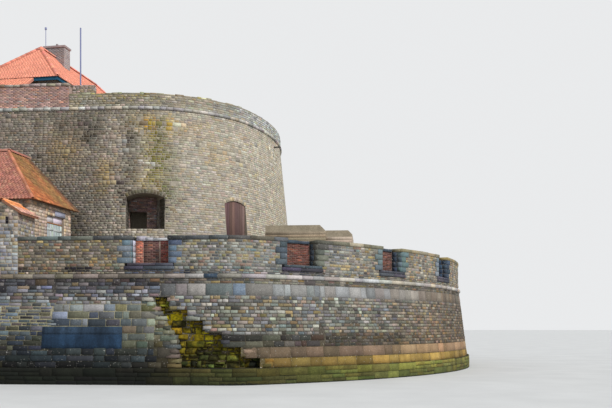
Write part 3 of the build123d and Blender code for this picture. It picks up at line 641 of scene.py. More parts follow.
def weathered(name, knots=None, roughness=0.92, grain=24, contrast=0.35, growth=(0.30, 0.22, 0.02),
              growth_scale=5.0, stretch=(1, 1, 1), fleck=(0.62, 0.59, 0.54), flecks=0.0, streak=0.0,
              seaward=None, turn=(0, 1)):
    """Stony finish: each block's own tone, or a colour by height, with patches, grain, growth and bump.

    Where seaward knots are given, they take over from the others along X, between the two ends of turn.
    """
    f = Finish(name, roughness)
    where = f.stretched(stretch)
    grain_height = f.noise(grain, 6, 0.65, where)
    shade = f.range(grain_height, 0.3, 0.7, 1 - contrast, 1 + contrast)
    broad = f.range(f.noise(PATCH_SCALE, 4, 0.6, where), 0.3, 0.7, 1 - contrast / 2, 1 + contrast / 2)
    shade = f.math("MULTIPLY", shade, broad)
    if streak:
        runs = f.noise(2.2, 4, 0.6, f.stretched((1, 1, 0.12)))
        shade = f.math("MULTIPLY", shade, f.range(runs, 0.35, 0.65, 1 - streak, 1 + streak / 2))
    if knots is None:
        base, share = f.tone()
    else:
        base = f.heights(knots)
        if seaward is not None:
            base = f.mix(f.range(f.axis("X"), *turn, 0, 1), base, f.heights(seaward))
        share = f.range(f.noise(PATCH_SCALE / 3), 0.4, 0.8, 0, 0.3)
    colour = f.scaled(base, shade)
    if flecks:
        edge = 0.75 - 0.35 * flecks
        colour = f.mix(f.range(f.noise(13, 5, 0.7), edge, edge + 0.08, 0, 0.8), colour, fleck)
    cover = f.math("ADD", f.noise(growth_scale, 6, 0.7), share)
    colour = f.mix(f.range(cover, 0.92, 1.12, 0, 1), colour, growth)
    return f.finish(colour, grain_height, BUMP_STRENGTH, BUMP_DEPTH)


# Hues of the mixed stones, as (share, multiplier)
RUBBLE_HUES = [
    (30, (1.10, 1.05, 0.95)), (20, (0.85, 0.90, 1.02)), (14, (0.50, 0.52, 0.60)), (12, (1.55, 1.55, 1.60)),
    (12, (1.15, 0.95, 0.55)), (8, (0.95, 0.78, 0.70)), (4, (0.25, 0.28, 0.35)),
]
ESCARP_HUES = [
    (26, (1.05, 1.0, 0.9)), (22, (0.78, 0.84, 0.95)), (16, (0.45, 0.48, 0.52)), (14, (1.6, 1.6, 1.55)),
    (14, (1.25, 0.95, 0.5)), (8, (1.1, 0.8, 0.65)), (2, (0.7, 0.9, 1.2)), (4, (0.15, 0.15, 0.15)),
]
PARAPET_HUES = [
    (26, (1.0, 0.98, 0.92)), (18, (0.78, 0.85, 0.95)), (16, (0.45, 0.46, 0.5)), (14, (1.5, 1.5, 1.52)),
    (14, (1.4, 1.12, 0.55)), (8, (1.15, 0.78, 0.6)), (4, (0.75, 1.0, 1.15)),
]
KEEP_HUES = [
    (32, (1.05, 1.0, 0.92)), (20, (0.82, 0.86, 0.95)), (10, (0.42, 0.42, 0.48)), (16, (1.5, 1.5, 1.52)),
    (12, (1.15, 0.92, 0.55)), (10, (1.0, 0.82, 0.72)),
]
BRICK_HUES = [
    (50, (1, 1, 1)), (18, (1.25, 1.1, 1.0)), (18, (0.7, 0.72, 0.8)), (8, (0.9, 1.3, 1.4)),
    (6, (1.3, 0.95, 0.7)),
]
TILE_HUES = [
    (50, (1, 1, 1)), (16, (1.15, 1.2, 1.15)), (20, (0.85, 0.8, 0.8)), (8, (0.6, 0.65, 0.7)),
    (6, (1.1, 1.4, 1.2)),
]

# Mean colours of the escarp by height, on the seaward side, the far bow and the landward side. In each, the
# darker top course just under the cordon, from about 4.1 m up, is painted shadow of the cordon.
ESCARP_SEAWARD = [
    (0.0, (0.022, 0.021, 0.006)), (0.35, (0.045, 0.046, 0.014)), (0.66, (0.060, 0.050, 0.012)),
    (0.70, (0.096, 0.066, 0.020)), (1.06, (0.100, 0.068, 0.022)), (1.10, (0.138, 0.098, 0.062)),
    (1.51, (0.142, 0.100, 0.065)), (1.55, (0.058, 0.050, 0.038)), (2.01, (0.062, 0.053, 0.040)),
    (2.10, (0.175, 0.162, 0.132)), (3.60, (0.215, 0.200, 0.168)), (3.70, (0.240, 0.252, 0.258)),
    (4.10, (0.245, 0.245, 0.240)), (4.20, (0.150, 0.132, 0.100)), (4.40, (0.140, 0.120, 0.090)),
]
ESCARP_BOW = [
    (0.0, (0.090, 0.093, 0.022)), (0.35, (0.155, 0.153, 0.038)), (0.66, (0.20, 0.182, 0.040)),
    (0.75, (0.31, 0.205, 0.050)), (1.05, (0.34, 0.22, 0.065)), (1.10, (0.40, 0.25, 0.13)),
    (1.52, (0.37, 0.235, 0.13)), (1.56, (0.17, 0.125, 0.085)), (2.3, (0.18, 0.138, 0.098)),
    (3.6, (0.19, 0.152, 0.115)), (3.7, (0.19, 0.152, 0.115)), (4.12, (0.20, 0.160, 0.122)),
    (4.2, (0.15, 0.125, 0.09)),
]
ESCARP_LANDWARD = [
    (0.0, (0.005, 0.006, 0.003)), (0.68, (0.008, 0.009, 0.006)), (1.2, (0.022, 0.027, 0.030)),
    (2.2, (0.047, 0.056, 0.064)), (2.9, (0.125, 0.132, 0.132)), (3.5, (0.185, 0.180, 0.172)),
    (3.95, (0.150, 0.142, 0.150)), (4.15, (0.085, 0.075, 0.075)), (4.40, (0.060, 0.050, 0.047)),
]
BESIDE_BREACH = (0.155, 0.150, 0.100)

# Stretches of other stone in the first course under the cordon: (start, end, multiplier)
FIRST_COURSE = (3.65, 4.15)
FIRST_COURSE_TINTS = [
    (-1.9, -0.4, (1.25, 1.08, 1.0)), (-0.4, 0.45, (0.48, 0.52, 0.48)), (0.45, 1.4, (0.50, 0.60, 0.80)),
    (1.4, 3.2, (1.2, 1.2, 1.2)),
]


def escarp_colour(s, z):
    # The top knots of each table darken the course under the cordon as painted shadow
    colour = blend(by_height(z, ESCARP_LANDWARD), by_height(z, ESCARP_SEAWARD), ramp(s, -3.4, -0.4))
    colour = blend(colour, by_height(z, ESCARP_BOW), np.where(z < 1.1, ramp(s, -1, 11), ramp(s, 6, 14)))
    beside_breach = ramp(s, -4.9, -3.9) * ramp(-s, 1.6, 2.2) * ramp(z, 1.3, 1.8) * ramp(-z, -3.5, -3.2)
    colour = blend(colour, BESIDE_BREACH, 0.7 * beside_breach)
    in_first = (z > FIRST_COURSE[0]) & (z < FIRST_COURSE[1])
    for start, end, tint in FIRST_COURSE_TINTS:
        colour = np.where((in_first & (s > start) & (s < end))[:, None], colour * np.array(tint), colour)
    return colour * (1 - 0.25 * ramp(s, 12.5, 15.5))[:, None]


def gorge_colour(s, z):
    return by_height(z, ESCARP_LANDWARD)


# Escarp. Bands of courses by stretch: (low, high, course height, stone length, proud, share of tall stones)

LANDWARD_BANDS = [
    (0.68, 1.20, 0.26, 0.60, 0.030, 0.2), (1.20, 2.40, 0.20, 0.50, 0.028, 0.3),
    (2.40, 3.50, 0.138, 0.40, 0.026, 0.3), (3.50, 4.37, 0.145, 0.34, 0.024, 0.3),
]
BLOCK_BANDS = [
    (0.68, 1.20, 0.26, 0.60, 0.020, 0.2), (1.20, 3.30, 0.30, 0.52, 0.022, 0.25),
    (3.30, 3.75, 0.15, 0.30, 0.018, 0.3), (3.75, 4.37, 0.155, 0.36, 0.022, 0.2),
]
SEAWARD_BANDS = [
    (0.68, 1.08, 0.40, 0.62, 0.030, 0), (1.08, 1.53, 0.45, 0.70, 0.026, 0),
    (1.53, 2.03, 0.25, 0.55, 0.024, 0.4), (2.03, 3.65, 0.147, 0.27, 0.022, 0.3),
    (3.65, 4.15, 0.50, 0.62, 0.016, 0), (4.15, 4.37, 0.11, 0.30, 0.016, 0.3),
]
NOSE_BANDS = [
    (0.68, 1.08, 0.40, 0.90, 0.020, 0), (1.08, 1.53, 0.45, 1.10, 0.022, 0),
    (1.53, 3.65, 0.141, 0.26, 0.022, 0.25), (3.65, 4.15, 0.50, 0.58, 0.016, 0),
    (4.15, 4.37, 0.11, 0.30, 0.016, 0.3),
]
SEAWARD_FROM = -2.6
NOSE_FROM = 4.5
ESCARP_ZONES = [
    (BACK_CORNER, -7.0, LANDWARD_BANDS), (-7.0, SEAWARD_FROM, BLOCK_BANDS),
    (SEAWARD_FROM, NOSE_FROM, SEAWARD_BANDS), (NOSE_FROM, NOSE_ARC, NOSE_BANDS),
]
GORGE_ZONES = [(-HALF_WIDTH, HALF_WIDTH, LANDWARD_BANDS)]
BLUE_SLAB = (-7.47, -4.12, 1.49, 2.36)
BLUE_SLAB_UPPER = 0.30
BLUE_SLAB_LAP = 0.02
BLUE_TONES = [(0.0135, 0.032, 0.062), (0.023, 0.041, 0.067)]

# Breach in the near shoulder: steps of the upper edge and the line of the lower one
BREACH_LEFT = -2.90
BREACH_TOP = 3.60
BREACH_RUN = 0.74
BREACH_DROP = (BREACH_TOP - FOOTING_TOP) / 6
BREACH_FOOT_LEFT = -1.81
BREACH_NECK = 1.83
BREACH_DEPTH = 0.45
BREACH_TONES = [
    (0.68, (0.030, 0.034, 0.008)), (1.2, (0.055, 0.054, 0.009)), (1.8, (0.19, 0.150, 0.006)),
    (2.8, (0.26, 0.205, 0.006)), (3.6, (0.34, 0.28, 0.05)),
]


def breach_left(z):
    if z < BREACH_NECK:
        return BREACH_FOOT_LEFT
    t = (z - BREACH_NECK) / (BREACH_TOP - BREACH_DROP / 2 - BREACH_NECK)
    return BREACH_FOOT_LEFT + (BREACH_LEFT - BREACH_FOOT_LEFT) * min(t, 1)


def breach_right(z):
    step = math.floor((BREACH_TOP - z) / BREACH_DROP)
    return BREACH_LEFT + BREACH_RUN * (step + 1) + 0.03 * max(step - 3, 0)


def breach_gap(z):
    if z < FOOTING_TOP or z > BREACH_TOP:
        return None
    return breach_left(z), breach_right(z)


def toothed(edge):
    """Edge between two stretches of masonry that steps in and out from course to course."""
    return lambda z: edge + 0.17 * math.sin(41 * z)


def escarp_wall_stones(name, wall, zones, gaps, material, seed, colour=escarp_colour):
    heap = Heap(seed)
    for number, (start, end, bands) in enumerate(zones):
        rubble = start < SEAWARD_FROM
        for low, high, height, length, proud, tall in bands:
            left = start - float(escarp_face((low + high) / 2)) if number == 0 else toothed(start)
            right = toothed(end) if number < len(zones) - 1 else end
            levels = levels_between(low, high, height)
            stones = mixed_courses(heap.rng, levels, left, right, length, tall, 0.6,
                                   0.016 if rubble else 0.008, gaps)
            s, _ = middle(stones)
            squared = height > 0.35
            softness = 0.22 if squared else 0.65 if start == NOSE_FROM else 0.85
            tones = shades(heap, stones, colour, vary=0.18 if squared else 0.26 + 0.10 * ramp(-s, 1, 4),
                           hue=0.02 if squared else 0.05, growth=0.12, hues=softer(ESCARP_HUES, softness))
            lay(heap, wall, stones, tones, proud, joint=0.024 if rubble and 1.2 < low < 3.5 else 0.014,
                bevel=0.010, rough=0.7, cells=(3, 2) if height > 0.24 else (2, 1))
    heap.build(name, material)


def footing_stones(material):
    """Long worn footing stones under weed."""
    heap = Heap(21)
    reach = float(footing_face(0.3)) - 0.03
    levels = levels_between(0.0, FOOTING_TOP, 0.17)
    for wall, start, end in ((FOOTING_NEAR, BACK_CORNER, NOSE_ARC), (FOOTING_FAR, BACK_CORNER, NOSE_ARC),
                             (FOOTING_GORGE, -HALF_WIDTH, HALF_WIDTH + reach)):
        stones = mixed_courses(heap.rng, levels, start - reach, end, 0.75, 0.35, 0.5, 0.012)
        stones[:, 2] = np.maximum(stones[:, 2], 0.0)
        s, _ = middle(stones)
        at_gorge = wall is FOOTING_GORGE
        tones = shades(heap, stones, gorge_colour if at_gorge else escarp_colour, vary=0.18, hue=0.05,
                       growth=0.04 if at_gorge else 0.04 + 0.12 * ramp(s, -2, 4),
                       hues=softer(ESCARP_HUES, 0.3))
        lay(heap, wall, stones, tones, proud=0.030, joint=0.006, bevel=0.006, rough=0.4, cells=(4, 1))
    heap.build("footing_stones", material)


def breach_edges(material):
    """Broken ends of the facing courses round the breach, each as deep as the facing."""
    heap = Heap(7)
    rng = heap.rng
    levels = levels_between(FOOTING_TOP, BREACH_TOP, 0.195)
    left, right = [], []
    for low, high in zip(levels[:-1], levels[1:]):
        z = (low + high) / 2
        edge = breach_left(z)
        left.append((edge - rng.uniform(0.25, 0.5), edge + rng.uniform(-0.02, 0.17), low, high))
        edge = breach_right(z)
        right.append((edge - rng.uniform(0.0, 0.14), edge + rng.uniform(0.25, 0.5), low, high))
    for stones in (np.array(left), np.array(right)):
        tones = shades(heap, stones, lambda s, z: 1.3 * escarp_colour(s, z), vary=0.25, hue=0.05, growth=0.3,
                       hues=softer(ESCARP_HUES, 0.8))
        lay(heap, NEAR_ESCARP, stones, tones, proud=0.035, joint=0.012, bevel=0.02, rough=0.5, cells=(2, 2),
            sink=0.40)
    heap.build("breach_edge_stones", material)


def breach_core(material):
    """Rough core behind the fallen facing."""
    heap = Heap(5)
    wall = Wall(battery_line, lambda z: escarp_face(z) - BREACH_DEPTH)
    levels = levels_between(FOOTING_TOP, BREACH_TOP, 0.14)
    stones = mixed_courses(heap.rng, levels, lambda z: breach_left(z) - 0.1, lambda z: breach_right(z) + 0.1,
                           0.26, 0.5, 0.8, 0.035)
    tones = shades(heap, stones, lambda s, z: by_height(z, BREACH_TONES), vary=0.55, hue=0.08, growth=0.40,
                   hues=softer(RUBBLE_HUES, 0.4))
    lay(heap, wall, stones, tones, proud=0.15, joint=0.010, bevel=0.035, rough=1.0, cells=(2, 2))
    heap.build("breach_core", material)


def blue_slab(material):
    """Smooth dark slab in the landward part of the near escarp, in two beds."""
    heap = Heap(6)
    left, right, low, high = BLUE_SLAB
    bed = high - BLUE_SLAB_UPPER
    lap = BLUE_SLAB_LAP
    stones = np.array([(left - lap, right + lap, low - lap, bed), (left - lap, right + lap, bed, high + lap)])
    tones = shades(heap, stones, BLUE_TONES, vary=0.02, hue=0.01)
    lay(heap, NEAR_ESCARP, stones, tones, proud=0.02, joint=0.001, bevel=0.001, rough=0.1, cells=(12, 3))
    heap.build("smooth_slab", material)


# Cordons, with the darker stones over the shoulder as (start, end, colour)

CORDON_HEIGHT = 0.19
CORDON_REACH = 0.105
CORDON_LANDWARD = (0.235, 0.190, 0.152)
CORDON_MIDDLE = (0.40, 0.365, 0.335)
CORDON_SEAWARD = (0.44, 0.40, 0.36)
CORDON_PATCHES = [(0.0, 0.8, (0.225, 0.195, 0.170)), (-0.9, 0.0, (0.040, 0.060, 0.085))]
KEEP_CORDON = (0.44, 0.41, 0.37)


def cordon_colour(s, z):
    colour = along(s, CORDON_LANDWARD, (-3.5, 1, CORDON_MIDDLE), (3, 8, CORDON_SEAWARD))
    for start, end, patch in CORDON_PATCHES:
        colour[(s >= start) & (s < end)] = patch
    return colour


def cordon_stones(name, walls, low, replaced, colour, material, seed, length):
    heap = Heap(seed)
    for line, mirrored, start, end in walls:
        stones = courses(heap.rng, [low, low + CORDON_HEIGHT], start, end, length, 0.4)
        tones = shades(heap, stones, colour, vary=0.14, hue=0.04, growth=0.10, hues=softer(RUBBLE_HUES, 0.4))
        bead(heap, Wall(line, mirrored=mirrored), stones, low, CORDON_HEIGHT / 2, CORDON_REACH, tones)
    heap.build(name, material, (replaced,))


# Parapet of the battery

JAMB_WIDTH = 0.46
QUOIN_ROWS = 4
QUOIN_TOOTH = 0.11
SILL_END = 0.25
PARAPET_LEVELS = [4.56, 4.65, 4.74, 4.87, 5.0, 5.1225, 5.245, 5.3675, 5.49, 5.6125, 5.735, 5.8575, 5.98]
PARAPET_LEFT = (0.210, 0.172, 0.128)
PARAPET_MIDDLE = (0.225, 0.212, 0.180)
PARAPET_RIGHT = (0.248, 0.210, 0.154)

# Darker stretches of the near parapet: (start, end, low, high, colour)
PARAPET_SLABS = [
    (-4.10, -1.45, 4.60, 4.74, (0.075, 0.080, 0.098)), (-9.2, -8.3, 4.62, 4.88, (0.035, 0.030, 0.033)),
    (-6.6, -5.6, 4.62, 4.88, (0.035, 0.030, 0.033)), (2.7, 5.0, 4.60, 4.74, (0.09, 0.085, 0.085)),
]


def opening_places():
    """Every gun opening as (side, distance along its side, place, mirrored)."""
    places = []
    for s in OPENINGS:
        place = place_on(battery_line, s, -PARAPET_SET)
        places.append(("far", s, place, True))
        if s in NEAR_OPENINGS:
            places.append(("near", s, place, False))
    places.append(("nose", 0, (HALF_LENGTH - PARAPET_SET, 0, math.pi / 2), False))
    for y in GORGE_OPENINGS:
        places.append(("gorge", y, (PARAPET_SET - HALF_LENGTH, y, -math.pi / 2), False))
    return places


def quoin_tooth(row):
    return QUOIN_TOOTH if row % 2 else -QUOIN_TOOTH


def jamb_gap(centre, half, jamb):
    """An opening and its long and short quoins as the stretch they take from a course."""
    def gap(z):
        if not SILL < z < MERLON_TOP:
            return None
        row = int((z - SILL) / (MERLON_TOP - SILL) * QUOIN_ROWS)
        shift = quoin_tooth(row) if jamb else 0
        return centre - half - jamb + shift, centre + half + jamb + shift
    return gap


def parapet_gaps(centres, outer):
    """Where openings, jambs and sills interrupt the courses of a parapet face."""
    if not outer:
        return [jamb_gap(centre, OPENING_HALF - PARAPET_THICK * OPENING_SPLAY, 0) for centre in centres]
    gaps = []
    for centre in centres:
        gaps.append(jamb_gap(centre, OPENING_HALF, JAMB_WIDTH))
        gaps.append(square_gap(centre - OPENING_HALF - SILL_END, centre + OPENING_HALF + SILL_END,
                               SILL_LOW, SILL))
    return gaps


def parapet_colour(s, z):
    colour = along(s, PARAPET_LEFT, (-4, -0.5, PARAPET_MIDDLE), (5, 9, PARAPET_RIGHT))
    for start, end, low, high, dark in PARAPET_SLABS:
        colour[(s > start) & (s < end) & (z > low) & (z < high)] = dark
    return colour


def parapet_sides():
    """Parapet sides as (name, line, mirrored, start, end, opening centres, gaps at buildings)."""
    annexe = full_gap(ANNEXE_LEFT - SHOULDER_X, ANNEXE_RIGHT - SHOULDER_X)
    return [("near", battery_line, False, BACK_CORNER, NOSE_ARC, [*NEAR_OPENINGS, NOSE_ARC], [annexe]),
            ("far", battery_line, True, BACK_CORNER, NOSE_ARC, [*OPENINGS, NOSE_ARC], []),
            ("gorge", gorge_line, False, -HALF_WIDTH, HALF_WIDTH, GORGE_OPENINGS, [])]


def parapet_stones(material):
    rng = np.random.default_rng(31)
    for name, line, mirrored, start, end, centres, others in parapet_sides():
        at_gorge = name == "gorge"
        heap = Heap(rng)
        for outer in (True, False):
            depth = PARAPET_SET if outer else PARAPET_SET + PARAPET_THICK
            stones = mixed_courses(rng, PARAPET_LEVELS, start + depth, end - depth if at_gorge else end,
                                   0.23 if outer else 0.36, 0.3, 0.5, 0.006,
                                   parapet_gaps(centres, outer) + others)
            s, z = middle(stones)
            colour = parapet_colour(np.minimum(s, -1) if at_gorge else s, z)
            growth = 0.16 + 0.18 * ramp(-s, 3, 5) + 0.10 * ramp(s, 9, 13)
            tones = shades(heap, stones, colour, vary=0.22, hue=0.045, growth=growth,
                           hues=softer(PARAPET_HUES, 0.8))
            if outer:
                wall = Wall(line, lambda z: 0 * z - PARAPET_SET, mirrored)
            else:
                wall = inward(line, depth, mirrored)
            lay(heap, wall, stones, tones, proud=0.022, joint=0.014, bevel=0.014, rough=0.6, cells=(2, 1))
        heap.build("parapet_stones_" + name, material)


def lay_bricks(heap, wall, start, end, low, high, colour, height=0.075, length=0.22, vary=0.3, gaps=(),
               mixed=1.0, proud=0.010):
    """Running bond of small bricks."""
    levels = levels_between(low, high, height)
    rows = []
    for index, (z0, z1) in enumerate(zip(levels[:-1], levels[1:])):
        for a, b in free_runs(at(start, z1), at(end, z1), gaps, (z0 + z1) / 2):
            first = math.ceil(a / length) * length + (length / 2 if index % 2 else 0)
            edges = np.concatenate([[a], np.arange(first, b - 0.02, length), [b]])
            edges = np.unique(edges[(edges >= a) & (edges <= b)])
            count = len(edges) - 1
            rows.append(np.column_stack([edges[:-1], edges[1:], np.full(count, z0), np.full(count, z1)]))
    bricks = np.concatenate(rows)
    tones = shades(heap, bricks, colour, vary, hue=0.05 * mixed, hues=softer(BRICK_HUES, mixed))
    lay(heap, wall, bricks, tones, proud, joint=0.008, bevel=0.3 * proud, rough=0.5, sink=0.01)


# Stones and bricks of a gun opening: left jamb, right jamb, cheeks, and bricks as (start, end, colour)
PALE_LILAC = (0.46, 0.45, 0.48)
DARK_SLATE = (0.060, 0.078, 0.100)
GREEN_GREY = (0.125, 0.130, 0.110)
BRICK_BACK = (0.17, 0.085, 0.06)
BRICK_BACK_HALF = 0.66
CHEEK_FRONT = 0.2
PLAIN_OPENING = ((0.15, 0.185, 0.205), (0.12, 0.17, 0.18), (0.045, 0.065, 0.09),
                 [(-0.72, 0.72, (0.128, 0.053, 0.041))])
OPENING_LOOKS = {
    # At the openings at -3.07 the bright orange brick strip at the left is painted sunlight and the dark red
    # strip at the right is painted shade, as on the lit and shaded cheeks.
    -3.07: ((0.145, 0.185, 0.215), (0.10, 0.135, 0.185), PALE_LILAC,
            [(-0.72, -0.40, (0.50, 0.18, 0.12)), (-0.39, 0.27, (0.112, 0.054, 0.046)),
             (0.33, 0.72, (0.20, 0.060, 0.050))]),
    3.73: ((0.075, 0.09, 0.105), GREEN_GREY, (0.05, 0.065, 0.08), [(-0.72, 0.72, (0.132, 0.048, 0.036))]),
    15.40: ((0.14, 0.17, 0.185), (0.05, 0.07, 0.10), (0.036, 0.06, 0.10),
            [(-0.72, 0.72, (0.13, 0.06, 0.047))]),
}


def opening_masonry(stone, brick):
    """Long and short quoins, cheeks and brick infill of every gun opening."""
    stones = Heap(41)
    bricks = Heap(stones.rng)
    lean = math.atan(OPENING_SPLAY)
    depth = PARAPET_THICK / math.cos(lean)
    rows = np.linspace(SILL, MERLON_TOP, QUOIN_ROWS + 1)
    for side, s, place, mirrored in opening_places():
        left, right, cheek, panels = OPENING_LOOKS.get(s, PLAIN_OPENING)
        face = Wall(local_line(place, 0, 0, 0), mirrored=mirrored)
        for edge, colour in ((-1, left), (1, right)):
            for row, (low, high) in enumerate(zip(rows[:-1], rows[1:])):
                width = JAMB_WIDTH + quoin_tooth(row) * edge
                start, end = sorted((edge * OPENING_HALF, edge * (OPENING_HALF + width)))
                block = np.array([(start, end, low, high)])
                lay(stones, face, block, shades(stones, block, colour, vary=0.13, hue=0.04), proud=0.016,
                    joint=0.010, bevel=0.007, rough=0.2, cells=(2, 2))
        for edge, colour in ((-1, left), (1, right)):
            line = local_line(place, edge * OPENING_HALF, 0, math.pi / 2 + edge * lean)
            wall = Wall(line, mirrored=mirrored) if edge < 0 else inward(line, 0.0, mirrored)
            blocks = courses(stones.rng, rows, 0, depth, 0.28, 0.3,
                             gaps=[full_gap(INFILL_SET, INFILL_SET + INFILL_THICK)])
            colours = np.where((middle(blocks)[0] < CHEEK_FRONT)[:, None], colour, cheek)
            lay(stones, wall, blocks, shades(stones, blocks, colours, vary=0.13, hue=0.04), proud=0.008,
                joint=0.007, bevel=0.004)
        front = Wall(local_line(place, 0, INFILL_SET, 0), mirrored=mirrored)
        for start, end, colour in panels:
            lay_bricks(bricks, front, start, end, SILL, MERLON_TOP, colour)
        back = inward(local_line(place, 0, INFILL_SET + INFILL_THICK, 0), 0.0, mirrored)
        lay_bricks(bricks, back, -BRICK_BACK_HALF, BRICK_BACK_HALF, SILL, MERLON_TOP, BRICK_BACK)
    stones.build("opening_stones", stone)
    bricks.build("infill_bricks", brick)


SILL_TONE = (0.072, 0.074, 0.090)
SILL_SHIFT = 0.3


def sill_slabs(material):
    """Two worn slabs, one on the other, under each opening."""
    heap = Heap(43)
    reach = OPENING_HALF + SILL_END
    base = SILL_LOW + 0.002
    for side, s, place, mirrored in opening_places():
        cut = heap.rng.uniform(-SILL_SHIFT, SILL_SHIFT)
        spans = np.array([(-reach, cut, -0.50, 0.058, base, SILL - 0.11),
                          (cut + 0.01, reach, -0.50, 0.050, base, SILL - 0.12),
                          (-reach + 0.12, -cut, -0.52, 0.056, SILL - 0.10, SILL + 0.004),
                          (-cut + 0.01, reach - 0.05, -0.52, 0.045, SILL - 0.115, SILL + 0.002)])
        tones = shades(heap, spans, SILL_TONE, vary=0.25, hue=0.08)
        boxes(heap, Wall(local_line(place, 0, 0, 0), mirrored=mirrored), spans, 0.018, tones)
    heap.build("sill_slabs", material, ("embrasure_sills",))


COPING_LEFT = (0.100, 0.102, 0.094)
COPING_RIGHT = (0.250, 0.215, 0.135)
COPING_DEPTH = 1.87
COPING_ROWS = ((0.64, -0.01), (0.62, -0.65), (0.585, -1.275))


def coping_stones(material):
    """Three rows of slabs on every merlon, given by their depth and the place of their outer edge."""
    heap = Heap(44)
    rng = heap.rng
    for name, line, mirrored, start, end, centres, others in parapet_sides():
        left, right = (start + COPING_DEPTH, end - COPING_DEPTH) if name == "gorge" else (start + 0.01, end)
        for depth, outer in COPING_ROWS:
            half = OPENING_HALF + (outer - depth / 2) * OPENING_SPLAY
            gaps = [full_gap(centre - half, centre + half) for centre in centres] + others
            stones = courses(rng, [MERLON_TOP, COPING_TOP], left, right, 0.85, 0.35, gaps=gaps)
            count = len(stones)
            lift = 0.012 * rng.uniform(-1, 0, count)
            edge = outer + 0.015 * rng.uniform(-1, 0.3, count)
            s, _ = middle(stones)
            colour = along(np.minimum(s, -1) if name == "gorge" else s, COPING_LEFT, (3, 9, COPING_RIGHT))
            tones = shades(heap, stones, colour, vary=0.16, hue=0.04, growth=0.22,
                           hues=softer(ESCARP_HUES, 0.5))
            spans = slab_spans(stones, 0.006, outer - depth + 0.01, edge, 0.002, lift)
            boxes(heap, Wall(line, mirrored=mirrored), spans, 0.02, tones)
    heap.build("coping_slabs", material, ("merlon_copings",))


def infill_caps(material):
    """Slabs on the brick infills, as (start, end, rise over the coping)."""
    heap = Heap(45)
    back = -INFILL_SET - INFILL_THICK
    front = 0.06 - INFILL_SET
    half = OPENING_HALF + back * OPENING_SPLAY - 0.005
    for side, s, place, mirrored in opening_places():
        colour, parts = DARK_SLATE, [(-half, 0.1, -0.03), (0.11, half, -0.04)]
        if side == "near" and s == OPENINGS[0]:
            colour, parts = PALE_LILAC, [(-half, -0.30, 0.03), (-0.29, 0.02, -0.03), (0.03, half, -0.05)]
        spans = np.array([(a, b, back, front, MERLON_TOP + 0.002, COPING_TOP + rise) for a, b, rise in parts])
        tones = shades(heap, spans, colour, vary=0.12, hue=0.03)
        boxes(heap, Wall(local_line(place, 0, 0, 0), mirrored=mirrored), spans, 0.02, tones)
    heap.build("infill_cap_slabs", material, ("infill_capstones",))


# Keep

KEEP_COURSE = 0.122
KEEP_LEFT = (0.232, 0.193, 0.153)
KEEP_MIDDLE = (0.395, 0.348, 0.278)
KEEP_RIGHT = (0.470, 0.418, 0.325)
KEEP_FOOT = (0.158, 0.138, 0.113)
OCHRE_LICHEN = (0.46, 0.27, 0.015)
GREEN_GROWTH = (0.105, 0.115, 0.025)
PALE_PATCH = (0.62, 0.61, 0.58)
VOUSSOIR = 0.22

# Marks on the near keep wall, as (station, height, half width, half height, strength): stains, with painted
# shadow in the long band under the cordon at 13.7 m and painted shade in the small dark spot of a hole at
# 11.4 m.
KEEP_STAINS_AND_SHADE = [
    (2.5, 12.7, 0.75, 0.85, 0.85), (4.75, 12.4, 0.45, 0.95, 0.75), (4.8, 10.6, 0.50, 1.6, 0.60),
    (4.6, 9.4, 0.60, 0.8, 0.80), (1.6, 8.0, 1.0, 1.5, 0.55), (0.5, 10.6, 1.2, 1.2, 0.20),
    (3.2, 9.6, 0.9, 1.4, 0.35), (6.45, 8.6, 0.35, 1.3, 0.60), (6.2, 11.6, 0.9, 1.9, 0.30),
    (1.0, 13.0, 0.5, 0.6, 0.40), (0.2, 9.0, 0.4, 0.9, 0.40), (3.6, 13.7, 3.0, 0.25, 0.25),
    (5.4, 9.2, 0.9, 0.35, 0.45), (2.4, 11.0, 0.5, 0.7, 0.30), (-0.25, 11.4, 0.25, 0.12, 0.9),
]
KEEP_OCHRE = [
    (5.75, 12.95, 0.42, 0.65, 1.0), (6.75, 13.0, 0.30, 0.5, 0.9), (7.7, 12.9, 1.3, 0.6, 0.28),
    (5.0, 13.2, 0.5, 0.5, 0.3), (6.0, 11.0, 0.55, 1.9, 0.60), (5.6, 10.2, 0.5, 0.6, 0.5),
    (1.2, 11.6, 0.9, 1.0, 0.30), (3.4, 10.4, 0.5, 0.9, 0.35), (9.3, 11.6, 0.8, 0.9, 0.22),
]
KEEP_GREEN = [
    (6.30, 12.9, 0.17, 0.6, 0.9), (6.30, 12.1, 0.22, 0.18, 1.0), (6.1, 11.2, 0.75, 1.9, 0.95),
    (6.6, 9.7, 0.60, 1.1, 0.75), (0.9, 7.6, 0.5, 1.2, 0.35),
]
KEEP_PALE = [
    (5.45, 11.0, 0.22, 0.12, 1.0), (5.9, 10.9, 0.14, 0.10, 0.9), (5.35, 10.4, 0.10, 0.22, 0.9),
    (4.35, 12.1, 0.2, 0.2, 0.4),
]


def marked(s, z, marks):
    """Strongest of several soft marks at each place."""
    share = 0.0 * s
    for station, height, half_s, half_z, strength in marks:
        share = np.maximum(share, strength * spot(s, z, (station, height), (half_s, half_z)))
    return share


